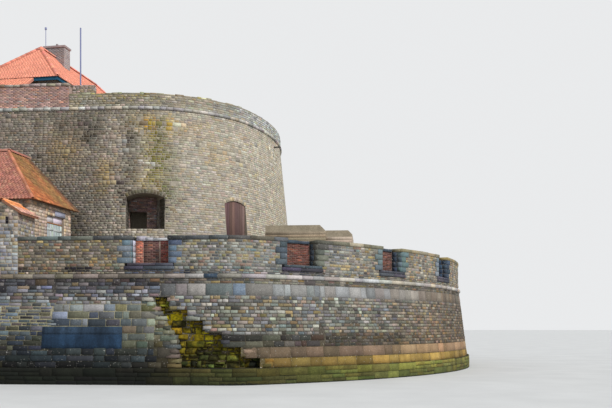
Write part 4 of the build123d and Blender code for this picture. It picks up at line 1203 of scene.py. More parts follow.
def keep_colour(s, z, rng, near):
    """Colour of the keep wall, with the marks of the near side only where they are seen."""
    colour = along(s, KEEP_LEFT, (1.0, 7.0, KEEP_MIDDLE), (9, 14, KEEP_RIGHT))
    colour = blend(colour, KEEP_FOOT, ramp(-z, -9.5, -6.5) * ramp(-s, -4.5, -1.5))
    if not near:
        return colour
    wobble = 1 + 0.3 * rng.normal(0, 1, len(s))
    # Darken by the stains, by the painted shadow under the cordon and by the painted shade of the hole
    colour = colour * (1 - np.clip(marked(s, z, KEEP_STAINS_AND_SHADE) * wobble, 0, 0.85))[:, None]
    colour = blend(colour, OCHRE_LICHEN, np.clip(marked(s, z, KEEP_OCHRE) * wobble, 0, 1) * 0.85)
    colour = blend(colour, GREEN_GROWTH, np.clip(marked(s, z, KEEP_GREEN) * wobble, 0, 1) * 0.8)
    return blend(colour, PALE_PATCH, marked(s, z, KEEP_PALE))


def arch(half, spring, rise):
    """Radius, height of the centre and half angle of a segmental arch."""
    radius = (half * half + rise * rise) / (2 * rise)
    return radius, spring + rise - radius, math.asin(half / radius)


def line_share(station, z):
    """Length along the keep line that a metre takes on the face, which stands out from the line."""
    x, y = keep_line(np.array([station - 0.1, station + 0.1]), float(keep_face(z)))
    return 0.2 / math.hypot(x[1] - x[0], y[1] - y[0])


def ring_gap(centre, half, sill, spring, rise):
    """An arched opening and its ring of voussoirs as the stretch they take from a course."""
    radius, middle_z, turn = arch(half, spring, rise)
    outer = radius + VOUSSOIR
    share = line_share(centre, spring)

    def gap(z):
        if z < sill or z > middle_z + outer:
            return None
        reach = half + 0.01
        if z > spring:
            reach = min(math.sqrt(outer * outer - (z - middle_z) ** 2), half + VOUSSOIR * math.sin(turn))
        return centre - share * reach, centre + share * reach
    return gap


def keep_gaps():
    recess = keep_station(RECESS_X)
    boarded = keep_station(BOARDED_X)
    gaps = []
    for side in (1, -1):
        gaps.append(ring_gap(side * recess, RECESS_HALF, RECESS_SILL, RECESS_SPRING, RECESS_RISE))
        gaps.append(ring_gap(side * boarded, BOARDED_HALF, BOARDED_SILL, BOARDED_SPRING, BOARDED_RISE))
    return gaps


def keep_stones(material):
    levels = levels_between(TERRACE, KEEP_TOP, KEEP_COURSE)
    for name, mirrored, seed in (("near", False, 51), ("far", True, 52)):
        rng = np.random.default_rng(seed)
        wall = Wall(keep_line, keep_face, mirrored)
        for part, start, end in (("landward", -KEEP_ARC, 0.0), ("seaward", 0.0, KEEP_ARC)):
            heap = Heap(rng)
            stones = mixed_courses(rng, levels, start, end, 0.23, 0.10, 0.5, 0.010, keep_gaps())
            s, z = middle(stones)
            growth = 0.04 + 0.12 * spot(s, z, (4.0, 9.5), (3.0, 3))
            if not mirrored:
                growth = growth + 0.40 * marked(s, z, KEEP_OCHRE)
            colour = keep_colour(s, z, rng, not mirrored)
            tones = shades(heap, stones, colour, vary=0.10 + 0.10 * ramp(-s, -8, -4), hue=0.035,
                           growth=growth, hues=softer(KEEP_HUES, 0.45))
            lay(heap, wall, stones, tones, proud=0.006, joint=0.014, bevel=0.005, rough=0.8)
            heap.build("keep_stones_" + name + "_" + part, material)


# Parapets of the keep: where the brick one ends and the stone one begins, courses and colours
BRICK_END = 1.39
BRICK_COPING = 0.15
BRICK_COPING_ROWS = ((-0.45, 0.06), (-0.96, -0.46))
STONE_TOP_ROWS = ((-0.45, 0.005), (-0.905, -0.46))
KEEP_PARAPET_LEVELS = [14.02, 14.13, 14.25, 14.37, 14.50, 14.62]
PARAPET_RUBBLE = (0.31, 0.275, 0.215)
PARAPET_GREY = (0.41, 0.42, 0.40)
PARAPET_BRICK = (0.37, 0.235, 0.20)
BRICK_COPING_TONE = (0.30, 0.235, 0.195)
STONE_TOP_LICHEN = (0.24, 0.215, 0.14)
STONE_TOP_GREY = (0.36, 0.36, 0.32)


def keep_parapet_stones(stone, brick):
    stones = Heap(61)
    bricks = Heap(stones.rng)
    for mirrored in (False, True):
        for wall in (Wall(keep_line, mirrored=mirrored), inward(keep_line, KEEP_PARAPET_THICK, mirrored)):
            blocks = courses(stones.rng, KEEP_PARAPET_LEVELS, BRICK_END, KEEP_ARC, 0.25, 0.5, 0.01)
            s, z = middle(blocks)
            colour = along(s, PARAPET_RUBBLE, (8, 14, PARAPET_GREY))
            growth = 0.28 + 0.2 * spot(s, z, (5.0, 14.6), (3.5, 0.5))
            tones = shades(stones, blocks, colour, vary=0.16, hue=0.04, growth=growth,
                           hues=softer(KEEP_HUES, 0.6))
            lay(stones, wall, blocks, tones, proud=0.022, joint=0.014, bevel=0.016, rough=0.8, cells=(2, 1))
            lay_bricks(bricks, wall, -KEEP_ARC, BRICK_END, KEEP_CORDON_TOP, BRICK_TOP, PARAPET_BRICK,
                       height=0.0753, length=0.24, vary=0.2, mixed=0.8, proud=0.006)
    stones.build("keep_parapet_stones", stone)
    bricks.build("keep_parapet_bricks", brick)


def voussoirs(heap, wall, centre, half, spring, rise, count, colour):
    radius, middle_z, turn = arch(half, spring, rise)
    angles = np.linspace(-turn, turn, count + 1)
    a, b = angles[:-1], angles[1:]
    outer = radius + VOUSSOIR
    across = [radius * np.sin(a), radius * np.sin(b), outer * np.sin(b), outer * np.sin(a)]
    up = [radius * np.cos(a), radius * np.cos(b), outer * np.cos(b), outer * np.cos(a)]
    corner_s = centre + line_share(centre, spring) * np.stack(across, axis=1)
    corner_z = middle_z + np.stack(up, axis=1)
    tones = shades(heap, corner_s, colour, vary=0.12, hue=0.03, growth=0.10, hues=softer(KEEP_HUES, 0.5))
    patches(heap, wall, corner_s, corner_z, tones, proud=0.010, joint=0.012)


RECESS_ARCH = (0.13, 0.115, 0.075)
BOARDED_ARCH = (0.38, 0.33, 0.24)


def keep_arches(material):
    heap = Heap(72)
    recess = keep_station(RECESS_X)
    boarded = keep_station(BOARDED_X)
    for mirrored in (False, True):
        wall = Wall(keep_line, keep_face, mirrored)
        for side in (1, -1):
            voussoirs(heap, wall, side * recess, RECESS_HALF, RECESS_SPRING, RECESS_RISE, 13, RECESS_ARCH)
            voussoirs(heap, wall, side * boarded, BOARDED_HALF, BOARDED_SPRING, BOARDED_RISE, 11,
                      BOARDED_ARCH)
    heap.build("arch_stones", material)


# Deep recesses with a brick screen: their right cheek is splayed. The screen has a doorway at its left
# end, given by its start and end from the left cheek and its height over the sill.
RECESS_SPLAY = 0.56
SPLAY_DEPTH = 1.40
SCREEN_Y = 0.80
SCREEN_BRICK = (0.25, 0.175, 0.165)
SCREEN_DOOR = (0.05, 0.96, 1.09)
CHEEK_TONE = (0.10, 0.085, 0.07)
# Splayed right cheek: its dark outer part is painted shade and its pale inner strip is painted light.
SPLAY_PAINTED_SHADE = (0.075, 0.070, 0.052)
SPLAY_PAINTED_LIGHT = (0.26, 0.235, 0.21)


def screen_edge(z, side):
    """Half width of the brick screen at a height, on its left (-1) or right (1)."""
    full = RECESS_HALF if side < 0 else RECESS_HALF - RECESS_SPLAY + 0.05
    if z < RECESS_SPRING:
        return full
    radius, middle_z, turn = arch(RECESS_HALF, RECESS_SPRING, RECESS_RISE)
    reach = math.sqrt(max(radius * radius - (z - middle_z) ** 2, 0))
    return reach if side < 0 else min(reach, full)


def recess_masonry(stone, brick):
    """Cheeks and brick screens of the deep recesses."""
    stones = Heap(71)
    bricks = Heap(stones.rng)
    place = place_on(keep_line, keep_station(RECESS_X), 0.0)
    face_y = -float(keep_face(RECESS_SPRING))
    lean = math.atan(RECESS_SPLAY / SPLAY_DEPTH)
    rows = levels_between(RECESS_SILL, RECESS_SPRING, 0.21)
    door_left, door_right, door_high = SCREEN_DOOR
    door = square_gap(-RECESS_HALF + door_left, -RECESS_HALF + door_right, 0, RECESS_SILL + door_high)
    for mirrored, turned in four_ways():
        left = quartered(local_line(place, -RECESS_HALF, face_y, math.pi / 2), mirrored, turned)
        blocks = courses(stones.rng, rows, 0.03, SCREEN_Y - face_y, 0.34, 0.4)
        tones = shades(stones, blocks, CHEEK_TONE, vary=0.25, hue=0.05, growth=0.1)
        lay(stones, left, blocks, tones, proud=0.015, joint=0.012)
        right = quartered(local_line(place, RECESS_HALF, face_y, math.pi / 2 + lean), mirrored, turned,
                          inner=True)
        blocks = courses(stones.rng, rows, 0.0, (SCREEN_Y - face_y) / math.cos(lean), 0.30, 0.4)
        # Painted shade on the outer part of the splayed cheek, painted light on its inner strip
        colour = along(middle(blocks)[0], SPLAY_PAINTED_SHADE, (0.75, 1.0, SPLAY_PAINTED_LIGHT))
        tones = shades(stones, blocks, colour, vary=0.12, hue=0.03)
        lay(stones, right, blocks, tones, proud=0.004, joint=0.004, bevel=0.002)
        screen = quartered(local_line(place, 0, SCREEN_Y, 0), mirrored, turned)
        lay_bricks(bricks, screen, lambda z: -screen_edge(z, -1), lambda z: screen_edge(z, 1), RECESS_SILL,
                   RECESS_SPRING + RECESS_RISE, SCREEN_BRICK, gaps=[door])
    stones.build("recess_reveal_stones", stone)
    bricks.build("recess_bricks", brick)


def brick_coping_slabs(material):
    heap = Heap(96)
    for mirrored in (False, True):
        stones = courses(heap.rng, [BRICK_TOP, BRICK_TOP + BRICK_COPING], -KEEP_ARC, BRICK_END, 0.42, 0.4)
        drop = 0.05 * heap.rng.uniform(0, 1, len(stones)) ** 2
        for inner, outer in BRICK_COPING_ROWS:
            edge = outer - 0.02 * heap.rng.uniform(0, 1, len(stones))
            tones = shades(heap, stones, BRICK_COPING_TONE, vary=0.2, hue=0.05, growth=0.2,
                           hues=softer(RUBBLE_HUES, 0.7))
            spans = slab_spans(stones, 0.004, inner, edge, 0.002, -drop)
            boxes(heap, Wall(keep_line, mirrored=mirrored), spans, 0.014, tones)
    heap.build("brick_parapet_slabs", material, ("brick_parapet_coping",))


def parapet_top_stones(material):
    """Ragged top course of the keep's stone parapet."""
    heap = Heap(98)
    levels = [KEEP_PARAPET_TOP - 0.05, KEEP_PARAPET_TOP + 0.03]
    for mirrored in (False, True):
        for inner, outer in STONE_TOP_ROWS:
            stones = courses(heap.rng, levels, BRICK_END + 0.01, KEEP_ARC, 0.38, 0.5)
            s, _ = middle(stones)
            rise = np.interp(s, [2, 9, 14], [0.05, 0.03, -0.02])
            rise = rise + 0.035 * heap.rng.uniform(-1, 1, len(stones))
            edge = outer - 0.02 * heap.rng.uniform(0, 1, len(stones))
            colour = along(s, STONE_TOP_LICHEN, (8, 14, STONE_TOP_GREY))
            tones = shades(heap, stones, colour, vary=0.2, hue=0.05, growth=0.32, hues=softer(KEEP_HUES, 0.7))
            spans = slab_spans(stones, 0.004, inner, edge, 0.0, rise)
            boxes(heap, Wall(keep_line, mirrored=mirrored), spans, 0.015, tones)
    heap.build("keep_parapet_top", material)


# Short wall of small stones behind the landward end of the stone parapet
STUB_LEFT = KEEP_X + BRICK_END
STUB_RIGHT = STUB_LEFT + 1.21
STUB_FACE = -KEEP_HALF + 0.45
STUB_BACK = STUB_FACE + 0.35
STUB_COPING = 0.055
STUB_RUBBLE = (0.41, 0.32, 0.295)
STUB_SLAB = (0.42, 0.33, 0.30)


def stub_stones(material):
    heap = Heap(97)
    high = BRICK_TOP + BRICK_COPING
    corners = [(STUB_LEFT, STUB_FACE), (STUB_RIGHT, STUB_FACE), (STUB_RIGHT, STUB_BACK),
               (STUB_LEFT, STUB_BACK)]
    faces = walk(corners)
    for wall, length in faces:
        small_stones(heap, wall, length, KEEP_PARAPET_TOP, high - 0.06, STUB_RUBBLE, height=0.085,
                     length=0.2, proud=0.012)
    low = high - STUB_COPING
    spans = np.array([(a, a + 0.298, -0.36, 0.015, low, high) for a in (0, 0.303, 0.606, 0.909)])
    tones = shades(heap, spans, STUB_SLAB, vary=0.15, hue=0.05, growth=0.1)
    boxes(heap, faces[0][0], spans, 0.012, tones)
    heap.build("stub_wall_stones", material)


# Doors and shutters

DOOR_BROWN = (0.12, 0.075, 0.05)
DOOR_WIDTH = 1.0
DOOR_SET = 0.12
KEEP_DOOR_BOARDS = 8
KEEP_DOOR_LEFT = (0.125, 0.075, 0.066)
KEEP_DOOR_RIGHT = (0.175, 0.105, 0.095)


def upright_boards(heap, wall, left, right, low, high, count, colour, crown=None):
    """Upright boards side by side, their tops following an arch if one is given."""
    edges = np.linspace(left, right, count + 1)
    edges[1:-1] += 0.015 * heap.rng.uniform(-1, 1, count - 1)
    a, b = edges[:-1], edges[1:]
    top_a = np.full(count, high) if crown is None else crown(a)
    top_b = np.full(count, high) if crown is None else crown(b)
    bottom = np.full(count, low)
    corner_s = np.stack([a, b, b, a], axis=1)
    corner_z = np.stack([bottom, bottom, top_b, top_a], axis=1)
    tones = shades(heap, corner_s, colour, vary=0.15, hue=0.05)
    patches(heap, wall, corner_s, corner_z, tones, proud=0.018, joint=0.012, sink=0.005)


def door_boards(material):
    """Boards on the upper doors of the keep and on the doors of both houses."""
    heap = Heap(73)
    place = place_on(keep_line, keep_station(BOARDED_X), 0.0)
    radius, middle_z, turn = arch(BOARDED_HALF, BOARDED_SPRING, BOARDED_RISE)
    fade = blend(KEEP_DOOR_LEFT, KEEP_DOOR_RIGHT, np.linspace(0, 1, KEEP_DOOR_BOARDS))
    for mirrored, turned in four_ways():
        wall = quartered(local_line(place, 0, BOARDED_SET, 0), mirrored, turned)
        upright_boards(heap, wall, -BOARDED_HALF + 0.005, BOARDED_HALF - 0.005, BOARDED_SILL + 0.01, None,
                       KEEP_DOOR_BOARDS, fade, lambda s: middle_z + np.sqrt(radius * radius - s * s) - 0.01)
    x = GUARD_HALF_X - GUARD_OVER - DOOR_SET
    y = HOUSE_BACK - EAVES_OVER - DOOR_SET
    doors = ((guard_point(x, -DOOR_WIDTH / 2), guard_point(x, DOOR_WIDTH / 2), KEEP_ROOF),
             (house_point(HOUSE_DOOR, y), house_point(HOUSE_DOOR + DOOR_WIDTH, y), TERRACE))
    for a, b, floor in doors:
        wall, width = face_wall(a, b)
        upright_boards(heap, wall, 0.005, width - 0.005, floor + 0.01, floor + DOOR_HEIGHT - 0.01, 5,
                       DOOR_BROWN)
    heap.build("door_boards", material)


SHUTTER_FROM = 1.88
SHUTTER_WIDTH = 1.70
SHUTTER_LOW = 5.45
SHUTTER_SPLIT = 7.22
SHUTTER_HIGH = 7.58
SHUTTER_SET = 0.13
SHUTTER_JOINT = 0.008
SHUTTER_PALE = (0.45, 0.48, 0.47)
SHUTTER_PANEL = (0.66, 0.63, 0.66)
SHUTTER_RUST = (0.42, 0.20, 0.08)


def shutter_boards(material):
    """Boards of the fixed panel and of the two leaves under it, with a rusty rail between them."""
    heap = Heap(93)
    face = EAVES_OVER + SHUTTER_SET
    wall, _ = face_wall(house_point(face, SHUTTER_FROM), house_point(face, SHUTTER_FROM + SHUTTER_WIDTH))
    half = SHUTTER_WIDTH / 2
    for left, right in ((0.01, half - SHUTTER_JOINT), (half + SHUTTER_JOINT, SHUTTER_WIDTH - 0.01)):
        upright_boards(heap, wall, left, right, SHUTTER_LOW + 0.01, SHUTTER_SPLIT - 0.01, 5, SHUTTER_PALE)
        rails = np.array([(left + 0.03, right - 0.03, z, z + 0.12)
                          for z in (SHUTTER_LOW + 0.2, SHUTTER_SPLIT - 0.35)])
        lay(heap, wall, rails, shades(heap, rails, SHUTTER_PALE, vary=0.08, hue=0.03), proud=0.045, joint=0.0,
            bevel=0.006, rough=0.1)
    upright_boards(heap, wall, 0.01, SHUTTER_WIDTH - 0.01, SHUTTER_SPLIT + 0.04, SHUTTER_HIGH - 0.01, 2,
                   SHUTTER_PANEL)
    rusty_rail = np.array([(0.02, SHUTTER_WIDTH - 0.02, SHUTTER_SPLIT - 0.02, SHUTTER_SPLIT + 0.03)])
    lay(heap, wall, rusty_rail, shades(heap, rusty_rail, SHUTTER_RUST, vary=0.05, hue=0.02), proud=0.05,
        joint=0.0, bevel=0.004, rough=0.2, cells=(8, 1))
    heap.build("shutter_boards", material)


# Tiled roofs

TILE_WIDTH = 0.17
TILE_GAUGE = 0.13
CAP_LENGTH = 0.36
CAP_SIDES = 6
GUARD_TILE = (0.85, 0.335, 0.225)
GUARD_CAP = (0.72, 0.27, 0.19)
SKIRT_TILE = (0.84, 0.34, 0.22)
SKIRT_DEPTH = 1.0
SKIRT_RIGHT = 1.1
SKIRT_DROP = 0.75
HOUSE_TILE_FRONT = (0.43, 0.185, 0.135)
HOUSE_TILE_SIDE = (0.50, 0.175, 0.070)
HOUSE_TILE_MOSS = (0.27, 0.18, 0.075)
HOUSE_TILE_VERGE = (0.15, 0.085, 0.060)
HOUSE_CAP = (0.36, 0.15, 0.11)
HOUSE_HIP_CAP = (0.44, 0.17, 0.10)


class Slope:
    """A roof plane, measured along its eave and up its slope."""

    def __init__(self, origin, eave, ridge):
        """origin and eave: two points of the eave. ridge: the point straight up the slope from origin."""
        self.origin = np.array(origin, dtype=float)
        run = np.array(eave, dtype=float) - self.origin
        up = np.array(ridge, dtype=float) - self.origin
        self.run = run / np.linalg.norm(run)
        self.rise = np.linalg.norm(up)
        self.up = up / self.rise
        normal = np.cross(self.run, self.up)
        self.flipped = normal[2] < 0
        self.normal = -normal if self.flipped else normal

    def points(self, a, b, height):
        a, b, height = [value[..., None] for value in np.broadcast_arrays(a, b, height)]
        return self.origin + a * self.run + b * self.up + height * self.normal


def lay_tiles(heap, slope, start, end, colour, vary=0.16, growth=0.0, mixed=1.0, relief=1.0, short=0.0):
    """Courses of plain tiles, each lying a little over the one below, up to a little short of the ridge."""
    levels = levels_between(0.0, slope.rise - short, TILE_GAUGE)
    tiles = courses(heap.rng, levels, start, end, TILE_WIDTH, 0.08)
    a0, a1, b0, b1 = [column[:, None] for column in tiles.T]
    a = a0 + 0.004 + (a1 - a0 - 0.008) * np.array([0, 1, 1, 0])
    b = b0 - 0.015 + (b1 - b0 + 0.015) * np.array([0, 0, 1, 1])
    lift = np.array([0.034, 0.034, 0.014, 0.014]) + 0.007 * heap.rng.uniform(-1, 1, (len(tiles), 1))
    points = slope.points(rows_side_by_side(a, a), rows_side_by_side(b, b),
                          rows_side_by_side(relief * lift, np.full(a.shape, -0.004)))
    quads = np.array([(0, 1, 2, 3), (4, 5, 1, 0), (5, 6, 2, 1), (7, 4, 0, 3)])
    tones = shades(heap, tiles, colour, vary, hue=0.05 * mixed, growth=growth, hues=softer(TILE_HUES, mixed))
    heap.add(points, quads, tones, slope.flipped)


def cap_tiles(heap, low, high, radius, colour):
    """Half-round tiles along a ridge or hip, each a shell that narrows towards the next."""
    low = np.array(low, dtype=float)
    run = np.array(high, dtype=float) - low
    total = np.linalg.norm(run)
    run = run / total
    side = np.cross(run, (0, 0, 1.0))
    side = side / np.linalg.norm(side)
    up = np.cross(side, run)
    count = max(1, round(total / CAP_LENGTH))
    starts = np.linspace(0, total, count + 1)[:-1]
    angles = np.linspace(-0.15, math.pi + 0.15, CAP_SIDES + 1)[None, :, None]
    rings = []
    for t, size in ((0.0, 1.08), (total / count + 0.02, 0.96)):
        for grow in (1.0, 0.86):
            hoop = radius * size * grow * (np.cos(angles) * side + np.sin(angles) * up * 0.9)
            rings.append(low + (starts + t)[:, None, None] * run + hoop)
    n = CAP_SIDES + 1
    quads = []
    for i in range(CAP_SIDES):
        quads.append((i, i + 1, 2 * n + i + 1, 2 * n + i))
        quads.append((i + 1, i, n + i, n + i + 1))
    tones = shades(heap, starts, colour, vary=0.14, hue=0.05, growth=0.05)
    heap.add(np.concatenate(rings, axis=1), np.array(quads), tones, flipped=True)


def guardhouse_tiles(material):
    heap = Heap(81)
    hx, hy, ridge = GUARD_HALF_X, GUARD_HALF_Y, GUARD_HALF_Y - GUARD_HIP
    eave = GUARD_EAVE
    top = GUARD_EAVE + GUARD_RISE
    smooth = {"vary": 0.03, "mixed": 0.2, "relief": 0.45}
    for side in (1, -1):
        flank = Slope(guard_point(side * hx, -hy, eave), guard_point(side * hx, hy, eave),
                      guard_point(0, -hy, top))
        inset = GUARD_HIP / flank.rise
        lay_tiles(heap, flank, lambda b: inset * b, lambda b: 2 * hy - inset * b, GUARD_TILE, **smooth)
        end = Slope(guard_point(-hx, side * hy, eave), guard_point(hx, side * hy, eave),
                    guard_point(-hx, side * ridge, top))
        narrowing = hx / end.rise
        lay_tiles(heap, end, lambda b: narrowing * b, lambda b: 2 * hx - narrowing * b, GUARD_TILE, **smooth)
        for across in (1, -1):
            corner = guard_point(across * hx, side * hy, eave)
            cap_tiles(heap, corner, guard_point(0, side * ridge, top), 0.11, GUARD_CAP)
    cap_tiles(heap, guard_point(0, -ridge, top), guard_point(0, ridge, top), 0.12, GUARD_CAP)
    skirt_y, skirt_z = -hy - SKIRT_DEPTH, eave - SKIRT_DROP
    skirt = Slope(guard_point(-hx, skirt_y, skirt_z), guard_point(SKIRT_RIGHT, skirt_y, skirt_z),
                  guard_point(-hx, -hy + 0.06, eave - 0.02))
    lay_tiles(heap, skirt, 0.0, hx + SKIRT_RIGHT, SKIRT_TILE, vary=0.04, mixed=0.25, short=0.05)
    heap.build("guardhouse_tiles", material)


def house_side_colour(a, b):
    """Tiles of the house's seaward slope: moss up towards the ridge and a dark verge at the back."""
    cloud = 0.5 + 0.5 * np.sin(3.1 * a + 1.3) * np.sin(2.3 * b - 0.9 * a)
    moss = 0.85 * ramp(a + 0.75 * b, 1.6, 3.6) * (0.45 + 0.55 * cloud)
    colour = blend(HOUSE_TILE_SIDE, HOUSE_TILE_MOSS, moss)
    return blend(colour, HOUSE_TILE_VERGE, 0.8 * ramp(a, HOUSE_BACK - 0.75, HOUSE_BACK - 0.2))


def house_tiles(material):
    heap = Heap(82)
    half = HOUSE_WIDTH / 2
    far = HOUSE_LENGTH
    top = HOUSE_EAVE + HOUSE_RISE

    def slope(x, y, along_x, ridge_x, ridge_y):
        """Slope from an eave corner, its eave running along x or along y."""
        along_eave = house_point(x + 1, y, HOUSE_EAVE) if along_x else house_point(x, y + 1, HOUSE_EAVE)
        return Slope(house_point(x, y, HOUSE_EAVE), along_eave, house_point(ridge_x, ridge_y, top))

    front = slope(0, 0, True, 0, half)
    inset = half / front.rise
    lay_tiles(heap, front, lambda b: inset * b, lambda b: far - inset * b, HOUSE_TILE_FRONT, vary=0.09,
              growth=0.05, mixed=0.6)
    lay_tiles(heap, slope(0, 0, False, half, 0), lambda b: inset * b, HOUSE_BACK, house_side_colour,
              vary=0.14, growth=0.20, mixed=0.8)
    lay_tiles(heap, slope(HOUSE_WIDTH, 0, False, half, 0), lambda b: min(HOUSE_WIDTH - inset * b, HOUSE_BACK),
              HOUSE_BACK, HOUSE_TILE_FRONT)
    cut = (HOUSE_WIDTH - HOUSE_BACK) / inset
    lay_tiles(heap, slope(0, HOUSE_WIDTH, True, 0, half),
              lambda b: HOUSE_WIDTH - inset * b if b > cut else far,
              lambda b: far - inset * b, HOUSE_TILE_FRONT)
    lay_tiles(heap, slope(far, 0, False, far - half, 0), lambda b: inset * b,
              lambda b: min(HOUSE_WIDTH - inset * b, HOUSE_BACK), HOUSE_TILE_FRONT)
    apex = house_point(half, half, top)
    far_apex = house_point(far - half, half, top)
    cap_tiles(heap, house_point(0, 0, HOUSE_EAVE), apex, 0.075, HOUSE_HIP_CAP)
    cap_tiles(heap, house_point(far, 0, HOUSE_EAVE), far_apex, 0.11, HOUSE_CAP)
    cap_tiles(heap, apex, far_apex, 0.12, HOUSE_CAP)
    cap_tiles(heap, apex, house_point(half, HOUSE_BACK, top), 0.12, HOUSE_CAP)
    heap.build("house_tiles", material)


# Walls of the two houses, the annexe and the shelter

def small_stones(heap, wall, width, low, high, colour, gaps=(), height=0.16, length=0.30, growth=0.1,
                 proud=0.018, hue=0.7, top=None):
    """Small coursed stones on a plane face, cut along its top where one is given."""
    stones = courses(heap.rng, levels_between(low, high, height), 0, width, length, 0.45, 0.008, gaps)
    if top is not None:
        limit = np.minimum(top(stones[:, 0]), top(stones[:, 1]))
        stones[:, 3] = np.minimum(stones[:, 3], limit)
        stones = stones[stones[:, 3] - stones[:, 2] > 0.04]
    tones = shades(heap, stones, colour, vary=0.2, hue=0.04, growth=growth, hues=softer(RUBBLE_HUES, hue))
    lay(heap, wall, stones, tones, proud, joint=0.014, rough=0.7)


GUARD_WALL_TOP = 16.2
GUARD_WINDOW_HALF = 2.12
GUARD_WINDOW_LOW = 15.01
GUARD_WINDOW_HIGH = 16.21
GUARD_RUBBLE = (0.36, 0.30, 0.24)


def guardhouse_stones(material):
    heap = Heap(91)
    hx, hy = GUARD_HALF_X - GUARD_OVER, GUARD_HALF_Y - GUARD_OVER
    window = square_gap(hx - GUARD_WINDOW_HALF, hx + GUARD_WINDOW_HALF, GUARD_WINDOW_LOW, GUARD_WINDOW_HIGH)
    door = square_gap(hy - DOOR_WIDTH / 2, hy + DOOR_WIDTH / 2, 0, KEEP_ROOF + DOOR_HEIGHT)
    faces = walk([guard_point(x, y) for x, y in ((-hx, -hy), (hx, -hy), (hx, hy), (-hx, hy))])
    for (wall, width), gaps in zip(faces, ([window], [door], [window], [])):
        small_stones(heap, wall, width, KEEP_ROOF, GUARD_WALL_TOP, GUARD_RUBBLE, gaps)
    heap.build("guardhouse_stones", material)


# Chimney, in the frame of the guardhouse, with the colours of its sides from the near one round: the near
# side darker as painted shade, the seaward side paler as painted sunlight.
CHIMNEY_HALF = 0.67
CHIMNEY_NEAR = -2.20
CHIMNEY_FAR = -1.44
CHIMNEY_LOW = 17.6
CHIMNEY_TOP = 19.69
CHIMNEY_SIDES_LIT_AND_SHADED = ((0.245, 0.225, 0.22), (0.40, 0.345, 0.33), (0.32, 0.27, 0.26), (0.32, 0.27, 0.26))


def chimney_bricks(material):
    heap = Heap(99)
    corners = [guard_point(-CHIMNEY_HALF, CHIMNEY_NEAR), guard_point(CHIMNEY_HALF, CHIMNEY_NEAR),
               guard_point(CHIMNEY_HALF, CHIMNEY_FAR), guard_point(-CHIMNEY_HALF, CHIMNEY_FAR)]
    # Each side's brick colour carries painted shade or painted sunlight
    for (wall, width), colour in zip(walk(corners), CHIMNEY_SIDES_LIT_AND_SHADED):
        lay_bricks(heap, wall, 0, width, CHIMNEY_LOW, CHIMNEY_TOP, colour, vary=0.06, mixed=0.3, proud=0.004)
    heap.build("chimney_bricks", material)


LINTEL_HIGH = SHUTTER_HIGH + 0.27
LINTEL_SLATE = (0.38, 0.38, 0.47)
HOUSE_RUBBLE = (0.55, 0.42, 0.32)


def house_stones(material):
    """Rubble walls of the house, with a slate lintel over its shutters."""
    heap = Heap(92)
    near, far, deep = EAVES_OVER, HOUSE_LENGTH - EAVES_OVER, HOUSE_BACK - EAVES_OVER
    left = SHUTTER_FROM - EAVES_OVER
    shutter = square_gap(left, left + SHUTTER_WIDTH, SHUTTER_LOW, SHUTTER_HIGH)
    lintel = (left + 0.45 * SHUTTER_WIDTH, left + SHUTTER_WIDTH + 0.1, SHUTTER_HIGH, LINTEL_HIGH)
    door = square_gap(HOUSE_DOOR - near, HOUSE_DOOR + DOOR_WIDTH - near, 0, TERRACE + DOOR_HEIGHT)
    faces = walk([house_point(x, y) for x, y in ((far, near), (near, near), (near, deep), (far, deep))])
    for (wall, width), gaps in zip(faces, ([], [shutter, square_gap(*lintel)], [door], [])):
        small_stones(heap, wall, width, TERRACE, HOUSE_EAVE - 0.03, HOUSE_RUBBLE, gaps, height=0.15,
                     length=0.26, hue=0.5)
    stone = np.array([lintel])
    lay(heap, faces[1][0], stone, shades(heap, stone, LINTEL_SLATE, vary=0.05, hue=0.02), proud=0.03,
        joint=0.01)
    heap.build("house_stones", material)


ANNEXE_FACE = -HALF_WIDTH + PARAPET_SET
ANNEXE_BACK = ANNEXE_FACE + PARAPET_THICK
ANNEXE_WIDTH = ANNEXE_RIGHT - ANNEXE_LEFT
ANNEXE_TOP = 7.50
ANNEXE_WALL_TOP = ANNEXE_TOP - 0.04
ANNEXE_CORNER_TOP = 7.16
ANNEXE_RIDGE_X = -1.588
ANNEXE_RIDGE = 7.62
ANNEXE_EAVE_X = -0.738
ANNEXE_EAVE = 7.18 - 0.17 * (ANNEXE_RIDGE - 7.18) / 0.68
ANNEXE_COPING_END = ANNEXE_RIDGE_X - ANNEXE_LEFT - 0.26
ANNEXE_SLIT = (ANNEXE_WIDTH - 0.54, ANNEXE_WIDTH - 0.41, 6.68, 7.0)
ANNEXE_LOW = (0.28, 0.265, 0.25)
ANNEXE_HIGH = (0.36, 0.28, 0.20)
ANNEXE_STAIN = (0.15, 0.13, 0.12)
ANNEXE_COPING = (0.42, 0.33, 0.22)
ANNEXE_SLABS = 5
SLIT_PAINTED_SHADE = (0.012, 0.010, 0.014)
ANNEXE_TILE_FRONT = (0.70, 0.40, 0.30)
ANNEXE_TILE = (0.86, 0.33, 0.12)
ANNEXE_CAP = (0.84, 0.36, 0.16)


def annexe_outline(s):
    return np.interp(s, [0, ANNEXE_COPING_END, ANNEXE_COPING_END + 0.26, ANNEXE_WIDTH],
                     [ANNEXE_WALL_TOP, ANNEXE_WALL_TOP, ANNEXE_RIDGE - 0.02, ANNEXE_CORNER_TOP])


def annexe_colour(s, z):
    colour = along(z, ANNEXE_LOW, (6.2, 7.4, ANNEXE_HIGH))
    return blend(colour, ANNEXE_STAIN, spot(s, z, (1.0, 5.3), (0.9, 0.5)))


